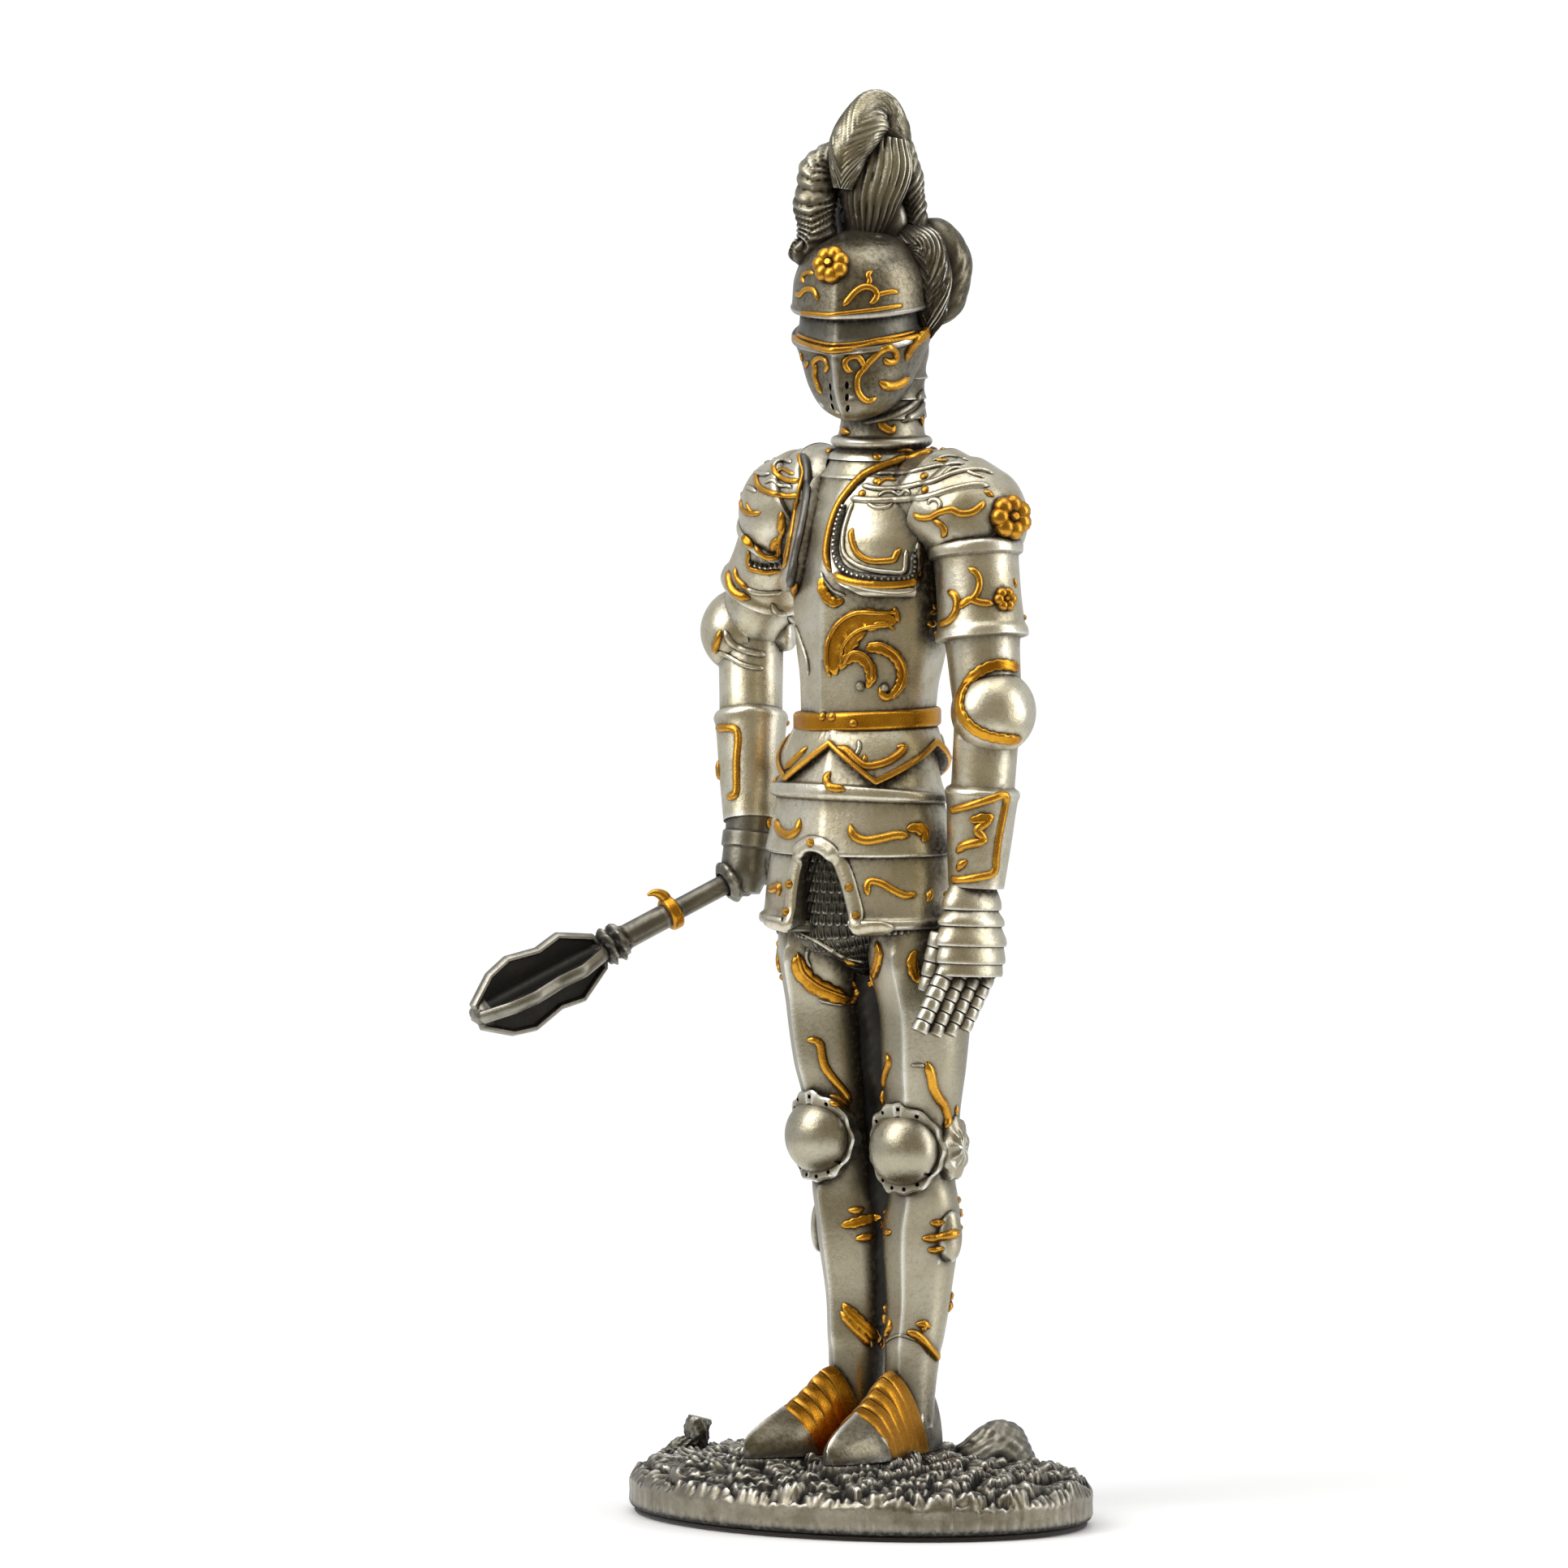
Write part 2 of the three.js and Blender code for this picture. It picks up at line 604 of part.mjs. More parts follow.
// The closed right fist, with its fingers wrapped round the shaft, bored for it.
function fist() {
  const { wrist } = ARMS[RIGHT];
  const hand = between(wrist, GRIP, [
    [-0.1, 3.4],
    [0.2, 3.1],
    [0.5, 3.5],
    [0.9, 3.5],
    [1.5, 2.2],
  ]);
  const fingers = Array.from({ length: 9 }, (_, n) => [(n - 4) * 0.95, n % 2 ? 3.4 : 2.8]);
  const grip = sweep(along(GRIP, MACE_WAY, fingers), { around: 9, front: UP });
  const bore = sweep(along(GRIP, MACE_WAY, [[-12, SHAFT_RADIUS + GAP], [12, SHAFT_RADIUS + GAP]]), {
    around: 8,
    front: UP,
  });
  return join([sweep(hand), grip]).subtract(bore);
}

function mace() {
  const stations = along(GRIP, MACE_WAY, [
    [BUTT, SHAFT_RADIUS],
    [10.5, SHAFT_RADIUS],
    [10.7, 2.2],
    [11.7, 2.2],
    [11.9, SHAFT_RADIUS],
    [HEAD_START - 2.6, SHAFT_RADIUS],
    [HEAD_START - 2.0, 2.4],
    [HEAD_START - 1.2, 1.7],
    [HEAD_START - 0.5, 2.3],
    [HEAD_START + 0.2, 1.7],
    [HEAD_START + 6, 2.5],
    [HEAD_START + 15, 2.5],
    [HEAD_START + 18, 3.0],
    [HEAD_START + HEAD_LENGTH, 0.4],
  ]);
  const barb = along(GRIP.clone().addScaledVector(MACE_WAY, 10.8), UP, [[1, 0.5], [2.6, 0.6], [3.4, 0.3]]);
  return filled(join([sweep(stations, { around: 8, front: UP }), sweep(barb, { around: 5 }), ...blades()]));
}

// The blades round the mace's head, each with two peaks on its edge.
function blades() {
  const edge = [
    [0.02, 0.9],
    [0.04, 2.2],
    [0.2, 4.2],
    [0.35, 5.1],
    [0.5, 4.6],
    [0.7, 5.2],
    [0.97, 0.9],
    [0.9, 0.5],
  ].map(([share, reach]) => new THREE.Vector2(share * HEAD_LENGTH, reach));
  const outline = new THREE.Shape(edge);
  const root = GRIP.clone().addScaledVector(MACE_WAY, HEAD_START);
  const turn = new THREE.Quaternion().setFromUnitVectors(point(1, 0, 0), MACE_WAY);
  return Array.from({ length: BLADES }, (_, n) => {
    const blade = new THREE.ExtrudeGeometry(outline, { depth: BLADE_THICK, bevelEnabled: false });
    blade.translate(0, 0, -BLADE_THICK / 2).rotateX((2 * PI * n) / BLADES + radians(BLADE_TURN));
    return solid(blade.applyQuaternion(turn).translate(root.x, root.y, root.z));
  });
}

// Base

// The height of the rough ground at a place on the base.
function ground(x, y) {
  const out = min(1, hypot(x / BASE_WIDE, y / BASE_DEEP));
  const rise = 0.9 + (SOLE - RIM_TOP - 0.9) * (1 - out ** 2) ** 0.7;
  const tufts = 0.42 * sin(1.3 * x + 2.1 * sin(0.7 * y)) * cos(1.1 * y + 1.4 * sin(0.5 * x));
  return RIM_TOP + (rise + tufts) * min(1, (1 - out) * 9);
}

function mound() {
  const around = 30;
  const oval = (out, z) =>
    Array.from({ length: around }, (_, i) => {
      const angle = (2 * PI * i) / around;
      const p = point(out * BASE_WIDE * cos(angle), out * BASE_DEEP * sin(angle), z);
      return z ? p : p.setZ(ground(p.x, p.y));
    });
  const rim = [
    oval(0.985, FELT_TOP),
    oval(1, FELT_TOP + 0.6),
    oval(1, RIM_TOP - 0.4),
    oval(0.985, RIM_TOP),
  ];
  const rough = [0.93, 0.78, 0.56, 0.3].map((out) => oval(out, 0));
  const rock = [
    [12.8, 13.2, 4, 6.0, 5.2],
    [12.8, 13.2, 7, 5.6, 4.4],
    [12.4, 13.6, 8.6, 4.4, 3.2],
    [11.4, 13.9, 9.8, 2.6, 2.0],
    [11.0, 14.0, 10.4, 1.2, 1.0],
  ];
  const stump = [
    [-27.0, 0.6, 4, 1.9],
    [-26.8, 0.6, 7, 1.5],
    [-26.6, 0.8, 8.8, 1.6],
    [-26.5, 0.9, 9.9, 1.1],
  ];
  const boulder = sweep(rock, { around: 8, front: facing(25) });
  const soil = join([skin([...rim, ...rough]), boulder, sweep(stump, { around: 6 })]);
  return soil.subtract(footprint(LEFT)).subtract(footprint(RIGHT));
}

// The hollow that a shoe stands in, a gap wider than the shoe and a gap deeper than its sole.
function footprint(side) {
  const ahead = facing(side * TOE_TURN);
  const across = beside(side * TOE_TURN);
  const halves = [[-4.8, 2.4], [-3.2, 3.7], [3, 4.2], [7, 4.5], [12, 4.6], [17, 3.2], [20.5, 0.9]];
  const edge = [...halves, ...halves.map(([distance, half]) => [distance, -half]).reverse()];
  const ring = (z) =>
    edge.map(([distance, half]) =>
      point(side * 4.1, 5.0, z).addScaledVector(ahead, distance).addScaledVector(across, half),
    );
  return skin([ring(SOLE - GAP), ring(SOLE + 4)]);
}

function feltPad() {
  const [inset, tall] = [0.7, FELT_TOP - GAP];
  const pad = new THREE.CylinderGeometry(1, 1, tall, 30).rotateX(PI / 2);
  return solid(pad.scale(BASE_WIDE - inset, BASE_DEEP - inset, 1).translate(0, 0, tall / 2));
}

function knight() {
  const trunk = [skirt(), mail(), web(), zigzag(), belt(), torso(), gorget(), helmet(), plume()];
  const hands = [openHand(), fist()];
  const pairs = [LEFT, RIGHT].flatMap((side) => [leg(side), wing(side), pauldron(side), arm(side)]);
  return filled(join([...trunk, ...hands, ...pairs])).simplify(SMALLEST);
}

// Meshes

const PEWTER = { color: 0x9d998c, roughness: 0.38, metalness: 1 };
const DARK_PEWTER = { color: 0x6d675c, roughness: 0.5, metalness: 1 };
const FELT = { color: 0x1c1512, roughness: 0.95, metalness: 0 };

function named(name, made, look) {
  const { vertProperties, triVerts, numProp } = made.getMesh();
  const geometry = new THREE.BufferGeometry();
  const data = new THREE.InterleavedBuffer(vertProperties, numProp);
  geometry.setAttribute("position", new THREE.InterleavedBufferAttribute(data, 3, 0));
  geometry.setIndex(new THREE.BufferAttribute(triVerts, 1));
  const mesh = new THREE.Mesh(geometry.toNonIndexed(), new THREE.MeshStandardMaterial(look));
  mesh.name = name;
  return mesh;
}

const figurine = new THREE.Group();
figurine.add(named("knight", knight(), PEWTER));
figurine.add(named("mace", mace(), DARK_PEWTER));
figurine.add(named("base", mound(), PEWTER));
figurine.add(named("felt_pad", feltPad(), FELT));

export default figurine;
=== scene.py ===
import json
from collections import namedtuple
from math import ceil, cos, pi, radians, sin

import bpy
import numpy as np
from mathutils import Matrix, Vector, noise
from mathutils.bvhtree import BVHTree

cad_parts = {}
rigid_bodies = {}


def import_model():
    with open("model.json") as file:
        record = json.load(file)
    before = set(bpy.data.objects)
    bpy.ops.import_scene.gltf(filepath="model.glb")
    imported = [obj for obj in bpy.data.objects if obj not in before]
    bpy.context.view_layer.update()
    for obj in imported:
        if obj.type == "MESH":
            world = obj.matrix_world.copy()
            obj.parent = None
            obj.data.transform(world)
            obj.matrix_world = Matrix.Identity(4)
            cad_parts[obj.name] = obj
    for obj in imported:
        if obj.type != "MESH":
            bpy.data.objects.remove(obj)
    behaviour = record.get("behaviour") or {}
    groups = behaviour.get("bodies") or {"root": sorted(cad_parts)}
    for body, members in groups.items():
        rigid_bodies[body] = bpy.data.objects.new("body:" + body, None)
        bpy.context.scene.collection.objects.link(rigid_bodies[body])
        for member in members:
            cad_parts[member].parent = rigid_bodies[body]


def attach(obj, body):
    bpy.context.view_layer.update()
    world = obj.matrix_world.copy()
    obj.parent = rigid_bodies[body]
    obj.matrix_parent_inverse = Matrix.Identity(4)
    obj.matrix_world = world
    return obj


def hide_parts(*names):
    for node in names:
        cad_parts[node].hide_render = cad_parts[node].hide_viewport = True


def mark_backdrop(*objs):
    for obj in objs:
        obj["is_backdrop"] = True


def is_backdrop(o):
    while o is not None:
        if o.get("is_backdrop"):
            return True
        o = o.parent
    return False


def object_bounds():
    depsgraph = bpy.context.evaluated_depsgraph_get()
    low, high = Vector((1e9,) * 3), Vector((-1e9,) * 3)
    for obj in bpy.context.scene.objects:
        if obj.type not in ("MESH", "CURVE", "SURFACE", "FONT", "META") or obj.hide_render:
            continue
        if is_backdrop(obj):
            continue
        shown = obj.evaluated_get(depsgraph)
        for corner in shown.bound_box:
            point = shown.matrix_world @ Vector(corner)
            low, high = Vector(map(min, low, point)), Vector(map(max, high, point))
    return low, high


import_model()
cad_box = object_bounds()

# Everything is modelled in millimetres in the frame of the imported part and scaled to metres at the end.
# The knight faces -Y, +X is the knight's left, and +Z is up from the underside of the felt.
MM = 0.001

# Heights of the landmarks of the figure
FELT_TOP = 0.8
RIM_TOP = 4.4
SOLE = 8.4
CALF = 36
KNEE = 47.1
HIP = 76
HEM = 75.2
LAME_TOP = 84.2
WAIST_LAME = 90.8
BELT = 101
CUFF = 92.8
LEFT_ELBOW = 102.6
RIGHT_ELBOW = 110.6
CHEST = 118
SHOULDER = 124
COLLAR = 131.5
NECK = 136
CHIN = 140
SIGHT = 149.6
BROW = 152.3
CROWN = 162.6
PLUME_TOP = 180

# The oval base, and how far its felt stands back from its edge
BASE_WIDE = 32.1
BASE_DEEP = 23.8
FELT_INSET = 0.7

# How far each part of the body is turned to the knight's left, in degrees, and stands back
HEAD_TURN = 22
FACE_TURN = 17
CHEST_TURN = -4
HIP_TURN = 8
TOE_TURN = 7
WAIST_BACK = 1.4

LEFT = 1
RIGHT = -1
UP = np.array((0.0, 0.0, 1.0))

# Finishes of a shell, as places in a piece's list of materials
BARE = 0
GILT = 1
# DARK is near black: tarnish, and painted shade on the walls of the holes, in the wing's groove and on the
# web between the legs.
DARK = 2
STEEL = 3

Shell = namedtuple("Shell", "points faces finish")


def vec(*xyz):
    return np.array(xyz, float)


def unit(v):
    return v / np.maximum(np.linalg.norm(v, axis=-1, keepdims=True), 1e-9)


def facing(turn):
    return vec(sin(radians(turn)), -cos(radians(turn)), 0)


def beside(turn):
    return vec(cos(radians(turn)), sin(radians(turn)), 0)


def circle(count):
    """The angles of a full turn in even steps."""
    return 2 * pi * np.arange(count) / count


def from_front(angle):
    """How far an angle is from the front, either way round."""
    return np.abs((angle + pi) % (2 * pi) - pi)


def oval(wide, deep, around):
    """Points round a level oval about the origin."""
    angle = circle(around)
    return np.stack([wide * np.cos(angle), deep * np.sin(angle), 0 * angle], -1)


def read_off(value, rows, column=1, **outside):
    """A column of a table at values of its first column, straight between the rows."""
    return np.interp(value, [row[0] for row in rows], [row[column] for row in rows], **outside)


# Shells


def outward(points, faces, finish):
    """A closed shell with its faces turned outwards."""
    corners = points[[(f[0], f[1], f[2]) for f in faces]]
    others = points[[(f[0], f[2], f[-1]) for f in faces if len(f) > 3] or [(0, 0, 0)]]
    volume = sum(np.einsum("ij,ij->", t[:, 0], np.cross(t[:, 1], t[:, 2])) for t in (corners, others))
    if volume < 0:
        faces = [f[::-1] for f in faces]
    return Shell(points, faces, finish)


def grid_faces(rows, around, wrap):
    """Quads between rows of points that each close on themselves, and from the last row to the first."""
    index = np.arange(rows * around).reshape(rows, around)
    aside = np.roll(index, -1, axis=1)
    if wrap:
        return np.stack([index, aside, np.roll(aside, -1, 0), np.roll(index, -1, 0)], -1)
    return np.stack([index[:-1], aside[:-1], aside[1:], index[1:]], -1)


def skin(rings, finish=BARE):
    """A closed skin over a row of rings of points, with a fan over each end."""
    rings = np.asarray(rings, float)
    rows, around, _ = rings.shape
    faces = grid_faces(rows, around, False).reshape(-1, 4).tolist()
    hub = rows * around
    last = (rows - 1) * around
    for i in range(around):
        after = (i + 1) % around
        faces.append([hub, after, i])
        faces.append([hub + 1, last + i, last + after])
    points = np.vstack([rings.reshape(-1, 3), rings[0].mean(0), rings[-1].mean(0)])
    return outward(points, faces, finish)


def hoop(rings, finish=BARE):
    """A skin over rings of points that lead round to the first ring again."""
    rings = np.asarray(rings, float)
    rows, around, _ = rings.shape
    faces = grid_faces(rows, around, True).reshape(-1, 4).tolist()
    return outward(rings.reshape(-1, 3), faces, finish)


def drawn_out(stations, step):
    """Stations on smooth curves between the given ones, no further apart than a step. The curves never
    pass beyond the given stations, so that a step in a plate's edge stays a step."""
    full = [list(s) + [s[3]] * (len(s) == 4) for s in stations]
    table = np.array([s + [0] * (6 - len(s)) for s in full], float)
    gaps = np.maximum(np.linalg.norm(np.diff(table[:, :5], axis=0), axis=1), 1e-4)
    at = np.concatenate([[0], np.cumsum(gaps)])
    parts = [np.linspace(a, b, max(1, ceil((b - a) / step)), endpoint=False) for a, b in zip(at, at[1:])]
    fine = np.concatenate([*parts, at[-1:]])
    slope = np.diff(table, axis=0) / gaps[:, None]
    rate = np.zeros_like(table)
    product = slope[:-1] * slope[1:]
    total = np.where(product > 0, slope[:-1] + slope[1:], 1)
    rate[1:-1] = np.where(product > 0, 2 * product / total, 0)
    rate[0], rate[-1] = slope[0], slope[-1]
    span = np.clip(np.searchsorted(at, fine, side="right") - 1, 0, len(gaps) - 1)
    t = ((fine - at[span]) / gaps[span])[:, None]
    reach = gaps[span][:, None]
    rise = t * t * (3 - 2 * t)
    pull = reach * (t * (1 - t) ** 2 * rate[span] - t * t * (1 - t) * rate[span + 1])
    return table[span] + rise * (table[span + 1] - table[span]) + pull


def travelled(middles):
    return np.concatenate([[0], np.cumsum(np.linalg.norm(np.diff(middles, axis=0), axis=1))])


def sweep(stations, around=48, step=0.5, front=facing(0), flat=False, ridge=0.5, carve=None, finish=BARE,
          axis=None):
    """A solid through stations [x, y, z, half width, half depth, keel], whose rings stand square to their
    path, or to an axis. A keel is a sharp ridge down the front, and carve(distance, angle) moves the
    surface out by what it gives."""
    table = drawn_out(stations, step)
    middles = table[:, :3]
    arc = travelled(middles)
    look = min(0.8, arc[-1] / 4)
    ends = [np.clip(arc + d, 0, arc[-1]) for d in (-look, look)]
    before, after = [np.stack([np.interp(e, arc, middles[:, k]) for k in range(3)], -1) for e in ends]
    along = unit(after - before) if axis is None else np.tile(axis, (len(table), 1))
    ahead = unit(front - along * (along @ front)[:, None])
    side = np.cross(along, ahead)
    angle = circle(around) + pi / 2
    rise = np.maximum(0, np.sin(angle)) if flat else np.sin(angle)
    crest = np.maximum(0, 1 - from_front(angle - pi / 2) / ridge) ** 2
    across = table[:, 3:4] * np.cos(angle)
    forward = table[:, 4:5] * rise + table[:, 5:6] * crest
    out = side[:, None] * across[..., None] + ahead[:, None] * forward[..., None]
    if carve:
        swell = carve(arc[:, None], (angle - pi / 2)[None])
        out = out + unit(out) * swell[..., None]
    return skin(middles[:, None] + out, finish)


def ball(middle, wide, deep, high, around=32, finish=BARE):
    turns = np.linspace(0, pi, around // 2 + 1)[1:-1]
    ring = oval(wide, deep, around)
    shell = skin([ring * sin(t) + UP * high * cos(t) + middle for t in turns], finish)
    shell.points[-2:] = middle + UP * high, middle - UP * high
    return shell


def bead(middle, way, radius, high, finish=BARE, around=10):
    """A rivet head: a low dome standing on a surface, sunk a little into it."""
    way = unit(way)
    side = unit(np.cross(way, UP + vec(0.1, 0.2, 0)))
    other = np.cross(way, side)
    angle = circle(around)[:, None]
    ring = side * np.cos(angle) + other * np.sin(angle)
    shares = [(-0.6, 1.0), (0.0, 1.0), (0.55, 0.82), (0.9, 0.45)]
    return skin([middle + way * (high * up) + ring * (radius * wide) for up, wide in shares], finish)


def along(start, way, steps):
    """Stations along a straight way from a place, each given as [distance, half width, half depth]."""
    return [[*(start + way * distance), *size] for distance, *size in steps]


def between(start, end, radii):
    """Stations along a limb between two joints, each given as [share of the way, radius]."""
    return [[*(start + (end - start) * share), radius] for share, radius in radii]


def bar(places, across, upward, half_across, half_up, sides):
    """Rings of a rounded bar that follows places, given its way across and its way up at each."""
    angle = circle(sides)[:, None]
    across, upward = (np.broadcast_to(way, places.shape)[:, None] for way in (across, upward))
    return places[:, None] + np.cos(angle) * across * half_across + np.sin(angle) * upward * half_up


# Legs

# How the legs differ: the height of the knee, the girth of the thigh, and the turn of the front ridge
KNEE_RISE = {LEFT: 0.0, RIGHT: 0.8}
THIGH_GIRTH = {LEFT: 1.06, RIGHT: 0.93}
KEEL_TURN = {LEFT: 15, RIGHT: -5}
# Stations of a leg: [height, aside, back, half width, half depth, keel]
LEG = [
    [HIP + 1, 6.6, 1.0, 4.8, 6.0],
    [HIP - 1.6, 7.3, 1.3, 5.3, 6.3],
    [HIP - 6, 7.6, 2.0, 5.7, 6.1, 1.4],
    [HIP - 12, 7.8, 3.2, 5.35, 5.7, 1.4],
    [KNEE + 10, 7.4, 3.5, 5.0, 5.1, 1.3],
    [KNEE + 6.3, 7.0, 3.9, 4.6, 4.7, 1.1],
    [KNEE + 4.6, 6.8, 4.1, 4.4, 4.8],
    [KNEE - 4.4, 6.2, 4.9, 4.0, 4.5],
    [KNEE - 6.2, 6.1, 5.1, 4.3, 4.4, 1.0],
    [CALF + 0.8, 5.3, 5.8, 4.85, 5.0, 1.3],
    [28, 4.8, 5.8, 4.1, 4.2, 1.2],
    [22.6, 4.5, 5.3, 3.75, 3.9, 1.0],
    [20.4, 4.4, 5.1, 3.4, 3.9, 0.5],
    [SOLE + 6, 4.2, 4.6, 3.2, 3.6, 0.2],
    [SOLE + 3, 4.2, 4.4, 3.2, 3.5],
]


def leg(side):
    stations = []
    for z, aside, back, wide, *rest in LEG:
        girth = THIGH_GIRTH[side] if KNEE < z < HIP else 1
        deep, keel = (rest + [0])[:2]
        stations.append([side * aside, back, z, wide * girth, deep * girth, keel])
    limb = sweep(stations, around=64, step=0.6, front=facing(KEEL_TURN[side]), ridge=0.66, axis=UP)
    return [limb, *knee(side), *strap(side), *foot(side)]


def web():
    """The rough web of metal left between the legs, from the fork down to the ankles."""
    stations = [[0, 2.6, HIP - 5, 2.6, 1.8], [0, 5.8, KNEE - 6, 3.2, 1.8], [0, 5.8, 24, 2.4, 1.4]]

    def rough(distance, angle):
        return 0.22 * np.sin(2.1 * distance + 3 * angle) * np.sin(5 * angle + 1.3 * distance)

    # The web's near-black finish is painted shade between the legs.
    return sweep(stations, around=32, step=0.6, carve=rough, finish=DARK)


def knee_middle(side):
    return vec(side * 6.5, 2.4, KNEE + KNEE_RISE[side])


def on_flange(side, turn):
    """A place on the middle line of the band round a knee dome, an angle from its top, and the way out."""
    aside, rise = 4.6 * sin(turn), 5.0 * cos(turn)
    across, front = beside(side * TOE_TURN), facing(side * TOE_TURN)
    place = knee_middle(side) + across * aside + UP * rise + front * (3.5 + 0.09 * rise - 0.1 * aside**2)
    return place, across * sin(turn) + UP * cos(turn), front


def knee(side):
    """The dome of the knee guard, the wavy band round its foot, and the fluted fan plate beside it."""
    dome = ball(knee_middle(side) + facing(side * TOE_TURN) * 2.0, 4.75, 4.0, 4.9, 48)
    section = [(-0.9, -2.2), (0.3, -1.8), (0.75, -0.4), (0.8, 0.1), (0.55, 0.35), (-0.9, 0.3)]
    rings = []
    for n in range(96):
        turn = 2 * pi * n / 96
        place, out, front = on_flange(side, turn)
        wave = 0.14 * sin(13 * turn) + 0.1 * sin(7 * turn + 2)
        rings.append([place + out * (a + wave) + front * b for a, b in section])

    def flutes(distance, angle):
        return 0.2 * np.cos(9 * angle) * np.clip(distance, 0, 1)

    plate = along(vec(side * 9.8, 4.8, KNEE), vec(side, 0, 0), [
        [-1, 2.4, 3.4],
        [1.2, 2.7, 4.1],
        [1.7, 2.6, 3.9],
        [2.3, 1.6, 2.4],
        [2.6, 1.2, 1.9],
        [3, 0.7, 1.1],
    ])
    return [dome, hoop(rings), sweep(plate, around=48, step=0.3, front=UP, carve=flutes)]


# Angles of the holes from the top of the band, in degrees
FLANGE_HOLES = (-50, -28, 4, 34, 128, 150, 172, 194, 216, 240)


def pierced(side):
    """Cutters for the small holes along the band round a knee dome."""
    cuts = []
    for turn in FLANGE_HOLES:
        place, out, front = on_flange(side, radians(turn))
        hole = along(place + out * 0.1 - front * 0.7, front, [[0, 0.27], [3, 0.27]])
        # The cutters' near-black finish goes onto the walls of the holes, as painted shade in them.
        cuts.append(sweep(hole, around=8, step=4, front=UP, finish=DARK))
    return cuts


def strap(side):
    """The ridge of the strap's bow on the outer side of the calf."""
    bow = along(vec(side * 9.0, 5.4, CALF - 0.2), vec(side, -0.2, 0), [
        [-0.6, 1.5, 3.0],
        [1.4, 1.8, 3.3],
        [1.9, 1.5, 3.0],
        [2.3, 0.7, 1.5],
    ])
    return [sweep(bow, around=28, step=0.35, front=UP)]


# Where an ankle stands, how far along the foot the toe cap begins, and how much the plates lean forward
FOOT_ASIDE = 4.1
FOOT_BACK = 5.0
TOE_CAP = 11.6
LEAN = 0.32


def foot(side):
    """A steel shoe with a flat sole: bare heel, gilt overlapping plates and a bare pointed toe cap."""
    start = vec(side * FOOT_ASIDE, FOOT_BACK, SOLE)
    way = facing(side * TOE_TURN)
    heel = [[-4.3, 1.6, 4.4], [-3.4, 2.8, 8.0], [0, 3.3, 9.6], [4.2, 3.45, 7.4], [5, 3.3, 6.9]]
    tall = [[1.2, 10.1], [3.6, 9.4], [5.6, 8.1], [7.6, 7.0], [9.6, 6.1], [TOE_CAP, 5.3]]
    plates = []
    for n, ((near, low), (far, high)) in enumerate(zip(tall, tall[1:])):
        wide = 3.4 + 0.13 * n
        plates += [[near, wide, low - 0.3], [near + 0.15, wide + 0.22, low], [far, wide + 0.1, high + 0.15]]
    plates.append([TOE_CAP + 0.2, 3.5, 4.2])
    toe = [
        [TOE_CAP - 0.6, 3.6, 4.8],
        [TOE_CAP - 0.2, 4.15, 5.3],
        [TOE_CAP + 0.3, 4.15, 5.1],
        [16.4, 2.8, 3.4],
        [19.2, 1.3, 1.9],
        [20, 0.5, 1.0],
    ]
    shells = []
    parts = [(heel, BARE, 0, 0), (plates, GILT, 0.4, LEAN), (toe, BARE, 0.8, LEAN)]
    for steps, finish, keel, lean in parts:
        stations = [[*station, keel] for station in along(start, way, steps)]
        shell = sweep(stations, around=48, step=0.4, front=UP, flat=True, ridge=0.6, finish=finish)
        shell.points[:] += way * (shell.points[:, 2:] - SOLE) * lean
        shells.append(shell)
    return shells


# Hips and waist


def back_at(z):
    return max(0, z - WAIST_LAME) * 0.13


def on_hips(angle, z, wide, deep):
    aside = beside(HIP_TURN) * wide * sin(angle)
    return vec(0, back_at(z), z) + aside + facing(HIP_TURN) * deep * cos(angle)


def skirt():
    """Three flared lames, each with a rolled lower edge that overlaps the next one down."""
    stations = [
        [HEM + 0.2, 12.0, 9.5],
        [HEM - 0.05, 12.9, 10.4],
        [HEM + 0.35, 13.35, 10.85],
        [HEM + 0.95, 13.3, 10.8],
        [HEM + 1.5, 12.75, 10.25],
        [HEM + 4.5, 12.4, 9.9],
        [LAME_TOP - 0.1, 11.75, 9.3],
        [LAME_TOP, 12.2, 9.8],
        [LAME_TOP + 0.35, 12.5, 10.05],
        [LAME_TOP + 1.0, 12.35, 9.9],
        [WAIST_LAME - 0.1, 11.1, 8.9],
        [WAIST_LAME, 11.5, 9.3],
        [WAIST_LAME + 0.45, 12.0, 9.8],
        [WAIST_LAME + 1.1, 11.9, 9.7],
        [WAIST_LAME + 1.5, 11.2, 9.1],
        [BELT - 0.6, 8.6, 7.6],
    ]
    stations = [[0, back_at(z), z, wide, deep, 0.5] for z, wide, deep in stations]
    return sweep(stations, around=112, step=0.4, front=facing(HIP_TURN), ridge=0.45)


# The arch cut in the skirt: half its width, how far it stands and leans aside, and the height of its top
ARCH_HALF = 4.3
ARCH_ASIDE = 0.2
ARCH_LEAN = -0.12
ARCH_TOP = LAME_TOP + 0.9


def arch_line(half, top, foot, count=17):
    """Points [aside, height] from one foot of an arch over its top to the other."""
    corners = [(-1, foot), (-0.8, top - 2.4), (-0.55, top), (0, top)]
    t = np.linspace(0, 1, count)[:, None]
    weights = np.hstack([(1 - t) ** 3, 3 * t * (1 - t) ** 2, 3 * t * t * (1 - t), t**3])
    side = weights @ np.array([(x * half, z) for x, z in corners])
    line = np.vstack([side, side[-2::-1] * (-1, 1)])
    line[:, 0] += ARCH_ASIDE + ARCH_LEAN * (line[:, 1] - HEM)
    return line


def arch_cut():
    line = arch_line(ARCH_HALF, ARCH_TOP, HEM - 2)
    across, ahead = beside(HIP_TURN), facing(HIP_TURN)
    rings = [[across * x + ahead * far + UP * z for x, z in line] for far in (5.4, 14)]
    return skin(rings)


